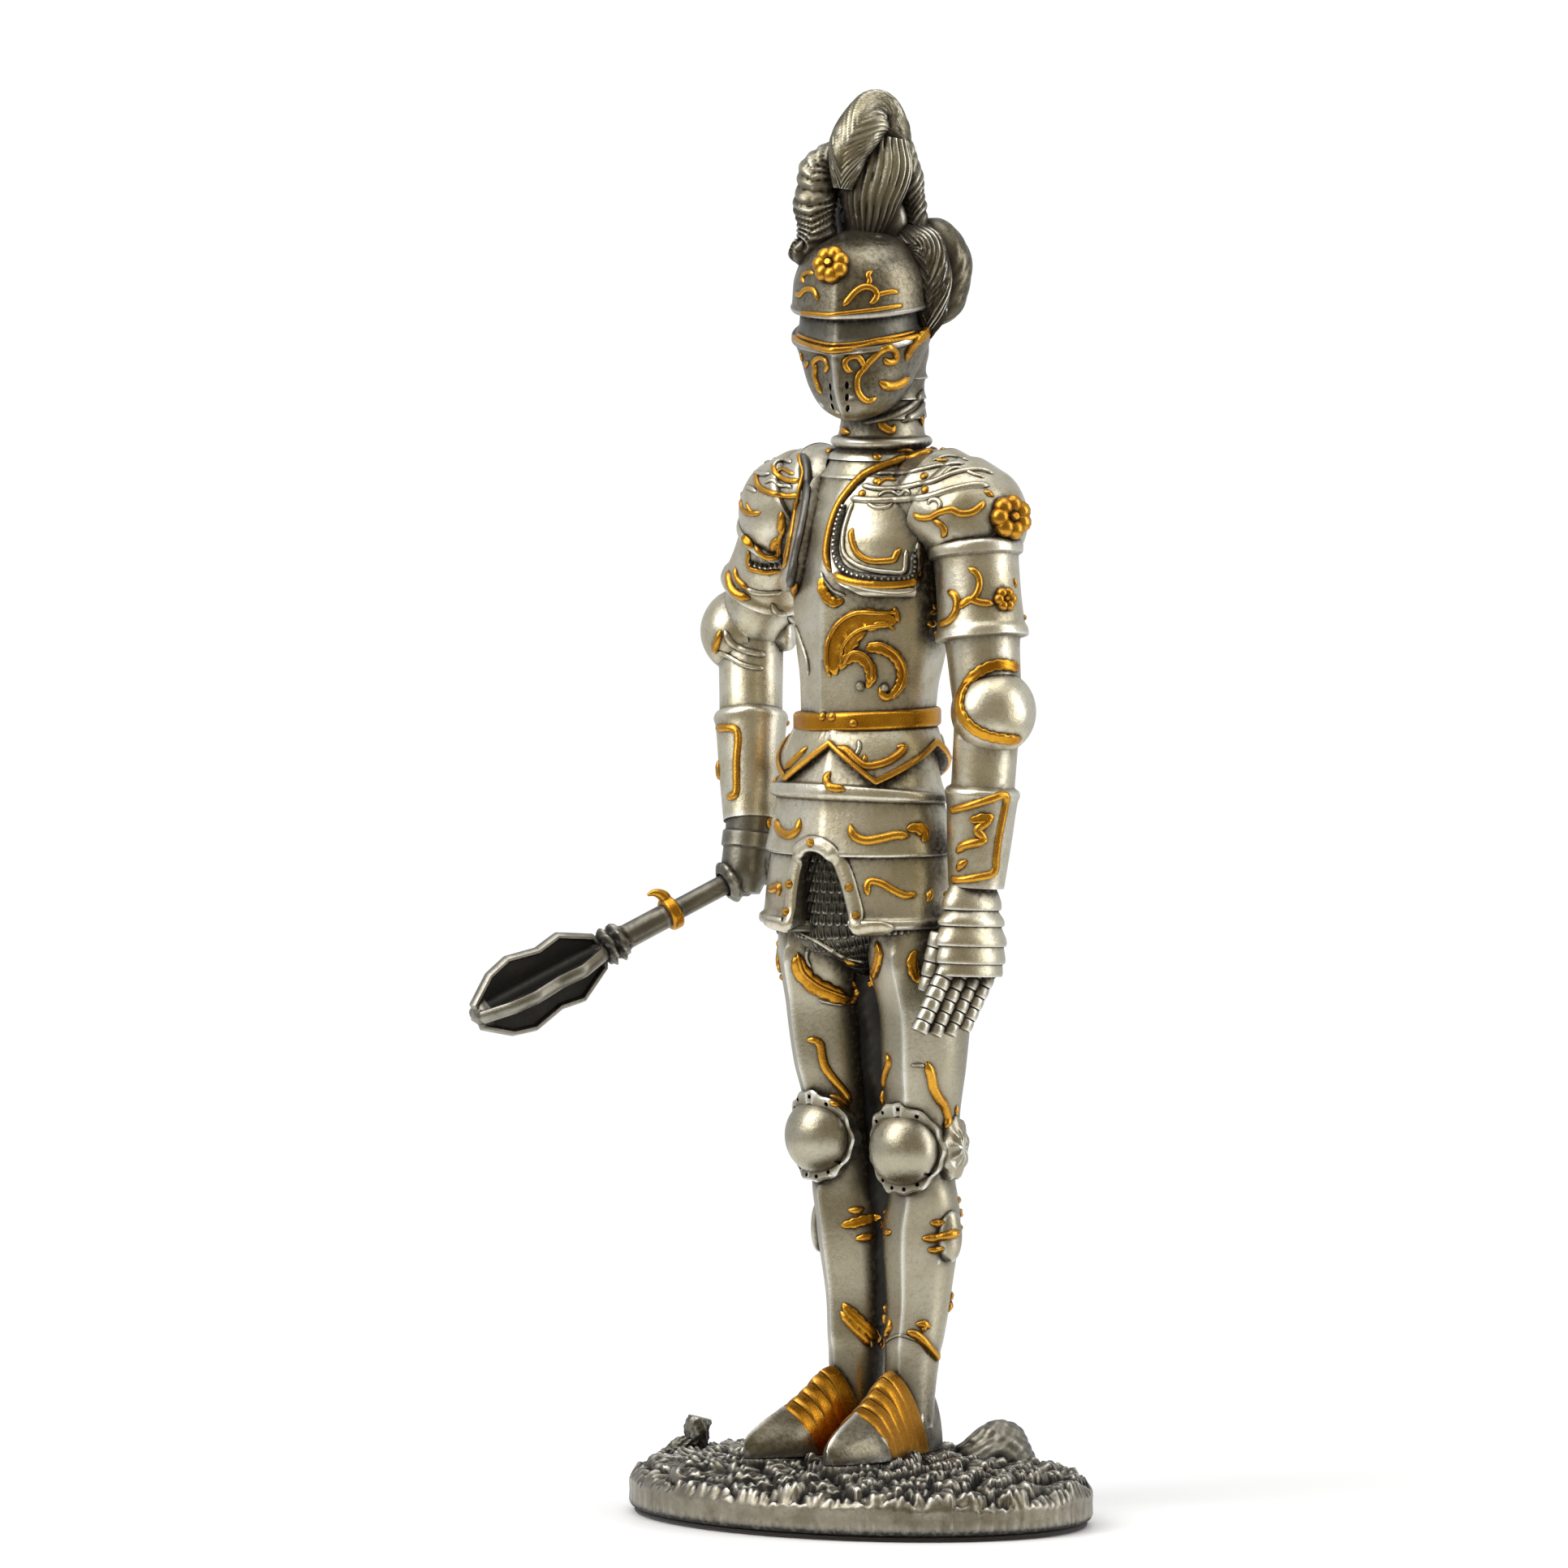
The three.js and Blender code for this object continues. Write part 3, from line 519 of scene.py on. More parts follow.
def arch_band():
    """The raised strip round the arch, as a line on the skirt for a ribbon to follow."""
    line = arch_line(ARCH_HALF + 0.75, ARCH_TOP + 0.75, HEM + 0.3).tolist()
    line = [[-9.5, HEM + 0.3], [-6.6, HEM + 0.3], *line, [6.6, HEM + 0.3], [9.5, HEM + 0.3]]
    return [beside(HIP_TURN) * x + facing(HIP_TURN) * 16 + UP * z for x, z in line]


# Heights of the low and high corners of the zigzag edge
ZIGZAG_LOW = 93.3
ZIGZAG_HIGH = 98.0
# Angles from the front where the edge turns, from high to low and back, round one half of the hips
ZIGZAG_TURNS = [(0, 1), (34, 0), (88, 1), (146, 0), (180, 1)]


def zigzag_ring(low, high, out, around=240):
    rings = []
    for n in range(around):
        turn = 360 * n / around - 180
        z = low + (high - low) * read_off(abs(turn), ZIGZAG_TURNS)
        narrowed = (z - WAIST_LAME) / (BELT - WAIST_LAME)
        rings.append(on_hips(radians(turn), z, 11.4 - 2.5 * narrowed + out, 9.2 - 1.4 * narrowed + out))
    return np.array(rings)


def zigzag():
    """The plate under the belt whose lower edge is a row of points, and its gilt border."""
    plate = skin([
        zigzag_ring(ZIGZAG_LOW + 0.3, ZIGZAG_HIGH + 0.3, -1.2),
        zigzag_ring(ZIGZAG_LOW, ZIGZAG_HIGH, 0.7),
        zigzag_ring(ZIGZAG_LOW + 0.05, ZIGZAG_HIGH + 0.05, 0.95),
        zigzag_ring(96.4, 99.2, 0.5),
        zigzag_ring(BELT - 1.2, BELT - 1.2, 0.2),
        zigzag_ring(BELT, BELT, -0.6),
    ])
    edge = zigzag_ring(ZIGZAG_LOW + 0.4, ZIGZAG_HIGH + 0.4, 0.95)
    out = unit(edge - UP * edge[:, 2:] - vec(0, 0.6, 0))
    return [plate, hoop(bar(edge, UP, out, 0.46, 0.36, 8), GILT)]


# Width and height of a mail link, and the radius at which the links are counted round the hips
LINK_WIDE = 1.05
LINK_TALL = 1.25
MAIL_RADIUS = 8.8


def links(distance, angle):
    """Rows of hanging mail links, each a U that overlaps the row below."""
    row = distance / LINK_TALL
    count = round(2 * pi * MAIL_RADIUS / LINK_WIDE)
    aside = (angle * count / (2 * pi) + 0.5 * np.floor(row)) % 1 - 0.5
    below = row % 1 - 0.5
    ring = np.hypot(aside * 1.15, np.minimum(below + 0.12, 0.0) * 1.1)
    bow = np.exp(-(((ring - 0.36) / 0.13) ** 2)) * np.clip(0.62 - below, 0, 1)
    return 0.42 * bow - 0.12


def mail():
    """The mail skirt under the lames, showing in the arch, between the thighs and below the hem."""
    stations = [
        [0.4, 2.4, HIP - 7, 1.6, 2.4],
        [0.4, 1.8, HIP - 4, 4.6, 5.0],
        [0, 0.8, HIP, 9.6, 7.6],
        [0, 0, LAME_TOP + 2, 9.8, 8.0],
    ]
    return sweep(stations, around=530, step=0.15, front=facing(HIP_TURN), carve=links)


def fringe():
    """Mail hanging just below the hem as a row of short drops, but not across the arch."""
    count, arch_turn = 84, 0.42

    def drops(distance, angle):
        return 0.16 * np.cos(count * angle) - 0.1 - 5.0 * (from_front(angle) < arch_turn)

    heights = [(HEM - 0.75, 11.9), (HEM - 0.6, 12.3), (HEM + 0.6, 12.5)]
    stations = [[0, 0, z, wide, wide - 2.4] for z, wide in heights]
    return sweep(stations, around=336, step=0.5, front=facing(HIP_TURN), carve=drops)


def belt():
    heights = [(-1.5, -0.6), (-1.35, 0.35), (-0.9, 0.75), (0.6, 0.75), (1.05, 0.4), (1.2, -0.6)]
    stations = [[0, WAIST_BACK, BELT + z, 8.75 + out, 7.95 + out] for z, out in heights]
    strap_round = sweep(stations, around=96, step=0.3, front=facing(HIP_TURN), finish=GILT)
    strap_round.points[:, 2] += 0.05 * strap_round.points[:, 0]
    return strap_round


# Chest and neck

# Stations of the breastplate: [height, half width, half depth, back]
BREAST = [
    [BELT - 2, 8.6, 8.0, 1.5],
    [BELT + 4, 8.9, 8.4, 1.8],
    [CHEST - 8, 9.9, 8.9, 2.2],
    [CHEST, 10.9, 9.2, 2.8],
    [SHOULDER, 11.0, 8.6, 3.4],
    [SHOULDER + 4, 10.2, 7.4, 3.9],
    [COLLAR, 7.6, 6.2, 4.2],
]


def torso():
    stations = [[0, back, z, wide, deep, 0.7 if z < COLLAR else 0] for z, wide, deep, back in BREAST]
    return sweep(stations, around=96, front=facing(CHEST_TURN), ridge=0.4)


def on_breast(angle, z, out=0.0):
    """A point off the breastplate at an angle out from its middle to the knight's left."""
    wide, deep, back = (read_off(z, BREAST, column) for column in (1, 2, 3))
    aside = beside(CHEST_TURN) * (wide + out) * sin(radians(angle))
    return vec(0, back, z) + aside + facing(CHEST_TURN) * (deep + out) * cos(radians(angle))


# Heights of a wing's stations over the chest with how far each stands out, and how far round the chest the
# inner edge of each wing lies at them and its outer edge lies, in degrees
WING_EDGE = [
    (-1.3, 0.3), (-1.1, 1.3), (-0.4, 1.7), (0.9, 1.6), (6, 1.4), (9.5, 1.5), (11.7, 1.6), (13.5, 1.3),
]
WING_INNER = {LEFT: (34, 30, 22, 10, 3, 5, 13, 24), RIGHT: (40, 36, 30, 25, 20, 22, 32, 42)}


WING_OUTER = 66


def wing(side):
    """The raised front wing of a shoulder guard: a curved plate with a rounded edge all round."""
    rows = [[CHEST + z, inner, WING_OUTER, out, 0] for (z, out), inner in zip(WING_EDGE, WING_INNER[side])]
    rows = drawn_out(rows, 0.8)
    shares = np.linspace(0, 1, 25)
    rings = []
    for z, inner, outer, out, *_ in rows:
        angles = side * (inner + (outer - inner) * shares)
        rounded = out * np.minimum(1, 0.45 + np.sqrt(np.minimum(shares, 1 - shares) * 14))
        outside = [on_breast(a, z, r) for a, r in zip(angles, rounded)]
        rings.append(outside + [on_breast(a, z, -1) for a in angles[::-1]])
    return skin(rings)


def gorget():
    """Stacked collars of the neck guard with rolled edges, flared at the foot and below the chin."""
    stations = [
        [COLLAR - 3, 9.8, 7.4],
        [COLLAR - 0.6, 7.8, 6.8],
        [COLLAR - 0.2, 8.0, 7.0],
        [COLLAR + 0.4, 7.4, 6.6],
        [COLLAR + 1.9, 6.5, 6.1],
        [COLLAR + 2.0, 6.8, 6.4],
        [COLLAR + 2.6, 6.5, 6.2],
        [NECK - 1.2, 5.6, 5.5],
        [NECK - 0.8, 6.2, 6.1],
        [NECK - 0.3, 6.45, 6.35],
        [NECK + 0.2, 6.2, 6.1],
        [NECK + 0.5, 5.5, 5.5],
        [NECK + 2.5, 5.2, 5.3],
        [NECK + 2.7, 5.6, 5.6],
        [NECK + 3.2, 5.5, 5.5],
        [NECK + 4.9, 5.1, 5.1],
        [NECK + 5.1, 5.5, 5.4],
        [NECK + 5.6, 5.4, 5.4],
        [NECK + 7.5, 5.9, 6.0],
        [NECK + 7.7, 6.3, 6.4],
        [NECK + 8.2, 6.2, 6.3],
        [NECK + 11, 7.2, 7.4],
        [SIGHT - 0.5, 7.6, 8.2],
    ]
    leaning = [[NECK, 0, 4.3], [NECK + 5, 0, 4.7], [SIGHT, -0.2, 1.4]]
    stations = [[read_off(z, leaning), read_off(z, leaning, 2), z, *half] for z, *half in stations]
    return sweep(stations, around=72, step=0.4, front=facing(HEAD_TURN / 2), axis=UP)


# Head


def in_head(aside, ahead, z):
    """A place in the head: to the knight's left of its middle, ahead of it, and its height."""
    return vec(0, 0.8, z) + beside(HEAD_TURN) * aside + facing(HEAD_TURN) * ahead


# How far the rims rise at the sides, and the share of it at each height
VISOR_RISE = 2.4
VISOR_LIFT = [(CHIN, 0), (CHIN + 5, 0.5), (SIGHT - 2, 1), (BROW, 0.45), (BROW + 4, 0.2), (CROWN, 0)]
# The dark band between the brow and the face guard
SIGHT_BAND = [
    [SIGHT - 1.6, 0, 8.2, 9.5, 0.7],
    [SIGHT - 1.4, 0, 8.45, 9.75, 0.7],
    [SIGHT - 0.4, 0, 8.05, 9.35, 0.6],
    [BROW - 1.0, 0, 7.85, 9.05, 0.6],
    [BROW - 0.6, 0, 7.6, 8.8, 0.6],
]


def helmet():
    """The closed helmet: the skull and brow, the recessed sight, and the keeled face guard, whose rims
    rise from the keel towards the pivots at the sides."""
    stations = [
        [CHIN - 1.3, 5.0, 1.0, 1.4, 0.2],
        [CHIN - 1.0, 4.7, 2.0, 2.7, 0.5],
        [CHIN + 0.1, 3.4, 4.2, 5.0, 1.0],
        [CHIN + 2.6, 1.6, 6.4, 7.5, 1.5],
        [SIGHT - 3.8, 0.3, 7.9, 9.1, 1.8],
        [SIGHT - 2.6, 0.1, 8.6, 9.7, 1.6],
        [SIGHT - 2.3, 0.1, 8.95, 10.3, 1.0],
        [SIGHT - 1.8, 0.1, 8.95, 10.3, 1.0],
        [SIGHT - 1.6, 0.0, 8.4, 9.7, 0.7],
        [SIGHT - 0.4, 0, 8.0, 9.3, 0.6],
        [BROW - 1.0, 0, 7.8, 9.0, 0.6],
        [BROW - 0.8, 0, 8.9, 10.1, 0.6],
        [BROW - 0.3, 0, 9.15, 10.35, 0.6],
        [BROW + 0.2, 0, 8.95, 10.1, 0.6],
        [BROW + 3.0, -0.1, 8.8, 9.9, 0.5],
        [BROW + 6.4, -0.2, 7.6, 8.7, 0.4],
        [CROWN - 1.4, -0.3, 4.8, 5.7],
        [CROWN, -0.4, 1.3, 1.6],
    ]
    return [worn_on_head(stations), worn_on_head(SIGHT_BAND, STEEL)]


def worn_on_head(stations, finish=BARE):
    """A part of the helmet through stations [height, ahead, half width, half depth, keel]."""
    stations = [[*in_head(0, ahead, z), wide, deep, *keel] for z, ahead, wide, deep, *keel in stations]
    shell = sweep(stations, around=96, step=0.34, front=facing(FACE_TURN), finish=finish, axis=UP)
    lift = read_off(shell.points[:, 2], VISOR_LIFT)
    away = shell.points - in_head(0, 0, 0)
    ahead = unit(away * (1, 1, 0)) @ facing(FACE_TURN)
    shell.points[:, 2] += VISOR_RISE * lift * (1 - np.clip(ahead, -0.2, 1)) ** 0.9
    return shell


# Feathers of the plume. Each station is [aside, ahead, height, half width, half thickness] in the head.
CREST = [
    [-0.4, -1.2, CROWN - 2.6, 2.8, 2.6],
    [0.2, -2.0, PLUME_TOP - 14, 4.4, 2.9],
    [1.0, -2.5, PLUME_TOP - 8.6, 4.6, 2.9],
    [1.6, -1.7, PLUME_TOP - 5.2, 3.8, 2.6],
    [1.5, 0.2, PLUME_TOP - 3.1, 3.0, 2.1],
    [0.2, 2.0, PLUME_TOP - 4.6, 2.9, 1.9],
    [-1.4, 2.8, PLUME_TOP - 8.0, 2.5, 1.8],
    [-2.0, 3.0, PLUME_TOP - 12.4, 1.1, 1.0],
]
RIGHT_LOCK = [
    [-0.8, -0.6, CROWN + 1, 2.0, 1.8],
    [-3.4, 0.2, PLUME_TOP - 8.4, 2.1, 1.8],
    [-5.6, 1.2, PLUME_TOP - 10.4, 2.4, 2.0],
    [-6.0, 1.6, PLUME_TOP - 14.4, 2.6, 2.1],
    [-5.7, 2.2, PLUME_TOP - 18.2, 2.3, 2.0],
    [-6.9, 3.0, PLUME_TOP - 20.4, 1.9, 1.6],
    [-8.6, 3.2, PLUME_TOP - 19.8, 0.9, 0.9],
]
LEFT_LOCK = [
    [1.6, -2.6, CROWN - 1, 1.8, 1.6],
    [3.8, -3.0, PLUME_TOP - 7.6, 1.6, 1.5],
    [5.0, -3.0, PLUME_TOP - 11.6, 1.7, 1.5],
    [5.7, -2.6, PLUME_TOP - 15.6, 1.6, 1.4],
    [7.0, -2.0, PLUME_TOP - 18.6, 1.3, 1.2],
]
SIDE_FEATHER = [
    [4.6, -1.2, CROWN - 1.6, 2.0, 1.6],
    [8.0, 0.6, CROWN - 2.4, 2.4, 1.7],
    [9.0, 1.0, CROWN - 6.4, 2.4, 1.7],
    [8.9, 1.2, CROWN - 10.6, 1.9, 1.4],
    [8.5, 1.6, CROWN - 13.6, 0.5, 0.5],
]
BACK_FEATHER = [
    [3.6, -4.0, CROWN - 2.4, 2.2, 2.0],
    [7.8, -4.2, CROWN - 1.4, 2.6, 2.4],
    [10.2, -3.4, CROWN - 5.0, 2.8, 2.7],
    [9.8, -3.0, CROWN - 9.0, 2.4, 2.4],
    [8.0, -2.6, CROWN - 11.8, 1.1, 1.1],
]


def barbs(spacing, slant, deep, clump):
    """Grooves between the barbs of a feather. They leave its shaft at a slant, crowd into clumps, and
    vary in depth along it."""

    def carve(distance, angle):
        off = from_front(angle)
        run = distance + slant * off * 2.6
        wander = 0.35 * np.sin(0.9 * run + 1.7) + 0.25 * np.sin(2.3 * off + 0.6 * distance)
        fine = np.abs(np.sin(pi * (run + wander) / spacing))
        broad = np.sin(2 * pi * (run + 0.4 * np.sin(3 * off)) / clump)
        return deep * (fine**0.7 - 0.6) + 0.3 * deep * broad

    return carve


def feather(places, spacing, slant, deep, clump):
    stations = [[*in_head(aside, ahead, z), wide, thick] for aside, ahead, z, wide, thick in places]
    carve = barbs(spacing, slant, deep, clump)
    return sweep(stations, around=88, step=0.26, front=facing(HEAD_TURN), carve=carve)


def plume():
    root = ball(in_head(-0.2, -2.2, CROWN + 0.6), 6.0, 2.6, 4.8)
    return [
        root,
        feather(CREST, 0.85, 1.3, 0.26, 5.2),
        feather(RIGHT_LOCK, 1.15, 0.35, 0.42, 4.0),
        feather(LEFT_LOCK, 1.1, 0.5, 0.36, 4.0),
        feather(SIDE_FEATHER, 1.0, 1.6, 0.34, 4.6),
        feather(BACK_FEATHER, 2.2, 1.2, 0.12, 6.0),
        fan(),
    ]


def fan():
    """The upright barbs under the crest, spreading from the skull up to the curl."""
    stations = [
        [*in_head(0.6, 0.6, CROWN - 1.4), 1.8, 1.4],
        [*in_head(1.0, 0.8, CROWN + 3), 3.6, 1.8],
        [*in_head(1.8, 0.4, CROWN + 7.5), 4.4, 2.0],
        [*in_head(2.0, -0.6, CROWN + 11), 3.4, 2.0],
    ]

    def upright(distance, angle):
        return 0.34 * (np.abs(np.sin(11 * angle + 0.25 * np.sin(0.8 * distance))) ** 0.7 - 0.6)

    return sweep(stations, around=110, step=0.3, front=facing(HEAD_TURN), carve=upright)


# Shoulders, arms and hands


def pauldron(side):
    """A shoulder guard: lames with rolled edges stepping out from the collar to a dome over the joint."""
    stations = [
        [5.0, 6.4, 5.0, 4.6],
        [7.2, 5.6, 6.6, 5.8],
        [7.4, 5.4, 7.1, 6.3],
        [7.9, 5.2, 7.2, 6.4],
        [10.2, 4.4, 7.3, 6.2],
        [10.4, 4.2, 7.8, 6.7],
        [10.9, 4.0, 7.95, 6.85],
        [14.8, 2.3, 7.7, 6.8],
        [17.4, 1.4, 6.4, 6.0],
        [19.3, 0.9, 4.6, 4.4],
        [20.3, 0.7, 2.2, 2.2],
    ]
    stations = [[side * aside, 4.6, SHOULDER + rise, deep, high] for aside, rise, deep, high in stations]
    return [sweep(stations, around=80, step=0.45, front=UP)]


def rosette(middle, way, radius, petals=7):
    """A blossom: a ring of round petals about a hollow with a bead in it."""
    way = unit(way)
    side = unit(np.cross(way, UP))
    other = np.cross(side, way)
    leaf = radius * 0.46
    hollow = bead(middle, way, radius * 0.8, leaf * 0.9, GILT, 20)
    shells = [hollow, bead(middle, way, leaf * 0.7, leaf * 1.8, GILT)]
    for turn in circle(petals):
        place = middle + (side * cos(turn) + other * sin(turn)) * (radius - leaf) + way * leaf * 0.5
        shells.append(ball(place, leaf, leaf, leaf, 14, GILT))
    return shells


# The shoulder, elbow and wrist of each arm, and the way its elbow cap faces
ARMS = {
    LEFT: [
        vec(15.4, 3.4, SHOULDER),
        vec(18.9, 1.6, LEFT_ELBOW),
        vec(18, 0.4, 80.6),
        vec(0.918, -0.362, 0),
    ],
    RIGHT: [
        vec(-15.4, 4.3, SHOULDER),
        vec(-23.6, 7.8, RIGHT_ELBOW),
        vec(-19.2, 2.2, 87),
        vec(-0.96, -0.28, 0),
    ],
}


def arm(side):
    """The plates of one arm, the round cap over its elbow and the hinge behind the cap."""
    shoulder, elbow, wrist, cap_facing = ARMS[side]
    upper = between(shoulder, elbow, [
        [0.02, 5.2],
        [0.035, 5.85],
        [0.06, 6.05],
        [0.1, 5.9],
        [0.115, 5.35],
        [0.3, 5.3],
        [0.5, 5.5],
        [0.54, 5.85],
        [0.575, 5.9],
        [0.59, 4.8],
        [0.86, 4.4],
        [1.1, 4.1],
    ])
    cuff = (LEFT_ELBOW - CUFF) / (LEFT_ELBOW - wrist[2]) if side == LEFT else 0.44
    lower = between(elbow, wrist, [
        [-0.12, 4.2],
        [cuff - 0.02, 4.0],
        [cuff - 0.005, 4.5],
        [cuff + 0.02, 4.75],
        [cuff + 0.06, 4.5],
        [cuff + 0.3, 4.05],
        [1, 3.5],
    ])
    dome = [[-1.4, 4.6], [1.6, 5.4], [2.4, 5.3], [3.4, 5.0], [4.6, 4.2], [5.6, 3.0], [6.2, 1.8], [6.4, 0.8]]
    cap = along(elbow, cap_facing, dome)
    hinge = along(elbow - cap_facing * 3.6, cap_facing, [[-2.4, 1.3, 1.6], [-1.8, 1.9, 2.3], [0, 2.1, 2.6]])
    shapes = [sweep(upper, around=56, step=0.45), sweep(lower, around=56, step=0.45)]
    return [*shapes, sweep(cap, around=56, step=0.4, front=UP), sweep(hinge, around=28, front=UP)]


def finger(start, reach, radius, plates):
    """A finger as a row of plates, from its knuckle to its tip."""
    steps = []
    for n in range(plates):
        for share, size in ((0, 0.86), (0.1, 1), (0.55, 1.07), (0.95, 1)):
            steps.append([(n + share) / plates, radius * size * (1 - 0.14 * n / plates)])
    steps.append([1, radius * 0.45])
    return sweep(between(start, start + reach, steps), around=18, step=0.22, front=facing(60))


# Height of the lower edge of each plate of the back of the hand below the wrist, and its half width
HAND_PLATES = [(0.6, 3.3), (-2.8, 4.0), (-4.8, 4.5), (-7.3, 4.9), (-9.5, 4.8), (-11.1, 4.5)]


def open_hand():
    """The open left hand: overlapping back plates, four hanging fingers, and the thumb in front of them."""
    wrist = ARMS[LEFT][2]
    across = unit(vec(0.35, 0.94, 0))
    steps = []
    for (top, narrow), (low, wide) in zip(HAND_PLATES, HAND_PLATES[1:]):
        steps += [[top - 0.1, narrow - 0.3], [low + 0.4, wide + 0.1], [low, wide]]
    stations = [[*(wrist + vec(-0.2, z * 0.06 - 0.5, z)), 0.66 * wide, wide] for z, wide in steps]
    shells = [sweep(stations, around=56, step=0.3, front=across)]
    for place in (-1.5, -0.5, 0.5, 1.5):
        knuckle = wrist + across * place * 2.15 + vec(-0.2, -1.1, -9.8)
        shells.append(finger(knuckle, vec(-1.6, -3.9, -8.8 + 0.5 * abs(place)), 1.18, 6))
    shells.append(finger(wrist - across * 4.4 + vec(-0.9, 0, -5.6), vec(-1.3, -1.1, -7.4), 1.3, 4))
    return shells


# The mace: where the fist holds it, how far it dips and points out, along it from there the end of the
# shaft and the start and length of the head, the shaft's radius, and the turn of the blades in degrees
GRIP = vec(-19.2, 0.9, 80.4)
MACE_DIP = radians(24.6)
MACE_OUT = radians(28)
MACE_WAY = vec(-sin(MACE_OUT) * cos(MACE_DIP), -cos(MACE_OUT) * cos(MACE_DIP), -sin(MACE_DIP))
BUTT = -4.6
HEAD_START = 21.3
HEAD_LENGTH = 20.0
SHAFT_RADIUS = 1.3
BLADE_TURN = 2


def on_shaft(steps, **how):
    """A solid round the line of the mace's shaft, through steps along it from the fist."""
    return sweep(along(GRIP, MACE_WAY, steps), front=UP, **how)


def fist():
    """The closed right fist, its fingers as rows of plates wrapped round the shaft."""
    radii = [[-0.1, 3.3], [0.2, 3.1], [0.24, 3.4], [0.5, 3.4], [0.54, 3.1], [0.9, 3.1], [1.35, 2.2]]
    hand = between(ARMS[RIGHT][2], GRIP, radii)
    fingers = [[(n - 4) * 0.8, 1.8 if n in (0, 8) else 2.7 if n % 2 else 2.35] for n in range(9)]

    def joints(distance, angle):
        return 0.22 * np.abs(np.sin(3.5 * angle)) ** 0.6 - 0.1

    grip = on_shaft(fingers, around=56, step=0.25, carve=joints, finish=STEEL)
    return [sweep(hand, around=40, finish=STEEL), grip]


def fist_bore():
    radius = SHAFT_RADIUS + 0.3
    return on_shaft([[-12, radius], [12, radius]], around=24, step=24)


# Mace


def blade_outline():
    """The edge of a blade as [distance along the head, reach out from its middle]."""
    corners = [(0.03, 0.9), (0.05, 2.1), (0.26, 4.4), (0.42, 3.9)]
    corners += [(0.63, 4.8), (0.78, 4.0), (0.95, 1.5), (0.93, 0.7)]
    edge = []
    for (a, b), (c, d) in zip(corners, corners[1:] + corners[:1]):
        edge += [(a + (c - a) * t, b + (d - b) * t) for t in (0, 0.25, 0.5, 0.75)]
    return [(HEAD_START + share * HEAD_LENGTH, reach) for share, reach in edge]


def mace():
    """The shaft with its hooked ring, the twisted collars, and four framed blades round a pointed core."""
    up = unit(UP - MACE_WAY * MACE_WAY[2])
    side = np.cross(MACE_WAY, up)

    def twisted(distance, angle):
        collar = HEAD_START - BUTT
        neck = np.clip((distance - collar + 3.4) * 3, 0, 1) * np.clip((collar + 1 - distance) * 3, 0, 1)
        return 0.16 * neck * np.sin(7 * angle + 5 * distance)

    shaft = [
        [BUTT, SHAFT_RADIUS],
        [10.4, SHAFT_RADIUS],
        [11, 1.55],
        [HEAD_START - 2.9, 1.6],
        [HEAD_START - 2.6, 2.1],
        [HEAD_START - 1.9, 2.5],
        [HEAD_START - 1.2, 1.8],
        [HEAD_START - 0.5, 2.5],
        [HEAD_START + 0.2, 1.7],
    ]
    core = [[HEAD_START - 0.4, 1.2], [HEAD_START + 5, 1.5], [HEAD_START + 18, 1.5]]
    tip = [
        [HEAD_START + 17.2, 1.2],
        [HEAD_START + 17.6, 2.3],
        [HEAD_START + 18.3, 2.2],
        [HEAD_START + HEAD_LENGTH, 0.15],
    ]
    ring = [[10.3, 1.2], [10.4, 1.9], [10.75, 2.2], [11.6, 2.2], [11.95, 1.9], [12.05, 1.2]]
    shells = [
        on_shaft(shaft, around=40, step=0.35, carve=twisted),
        on_shaft(core, around=24, finish=DARK),
        on_shaft(tip, around=4),
        on_shaft(ring, around=40, step=0.2, finish=GILT),
    ]
    hook = [(-0.1, 1.2, 0.75), (0.0, 2.2, 0.8), (0.4, 2.9, 0.65), (1.1, 3.4, 0.45), (1.9, 3.5, 0.2)]
    hook = [[*(GRIP + MACE_WAY * (11.2 + ahead) + up * rise), size] for ahead, rise, size in hook]
    shells.append(sweep(hook, around=14, step=0.2, front=side, finish=GILT))
    edge = blade_outline()
    for n in range(4):
        turn = radians(BLADE_TURN + 90 * n)
        out = up * sin(turn) + side * cos(turn)
        thick = np.cross(MACE_WAY, out)
        flat = np.array([GRIP + MACE_WAY * d + out * max(0.2, reach - 0.1) for d, reach in edge])
        shells.append(skin([flat + thick * aside for aside in (-0.3, 0.3)], DARK))
        shells.append(framed([GRIP + MACE_WAY * d + out * reach for d, reach in edge], thick, 0.5, 0.85))
    return shells


def framed(path, thick, section, deep):
    """A rounded bar that follows a closed path in a plane, whose normal is its thick way."""
    path = np.array(path)
    ahead = unit(np.roll(path, -1, 0) - np.roll(path, 1, 0))
    return hoop(bar(path, np.cross(ahead, thick), thick, section, deep, 10))


# Base


# The finish of the boulder and the stump
STONE = 1
# The space from tuft to tuft of the cast grass, and from strand to strand
TUFT = 3.9
STRAND = 0.98


def tuft_seeds():
    """The middle of each tuft of grass, strewn about a grid, and how far its strands turn from outwards."""
    seeds = []
    for row in range(-7, 8):
        for column in range(-9, 10):
            x, y = TUFT * column, TUFT * row
            strewn = noise.cell_vector((column, row, 0.5))
            seeds.append((x + TUFT * 0.8 * strewn.x, y + TUFT * 0.8 * strewn.y, 0.8 * (2 * strewn.z - 1)))
    return np.array(seeds)


SEEDS = tuft_seeds()


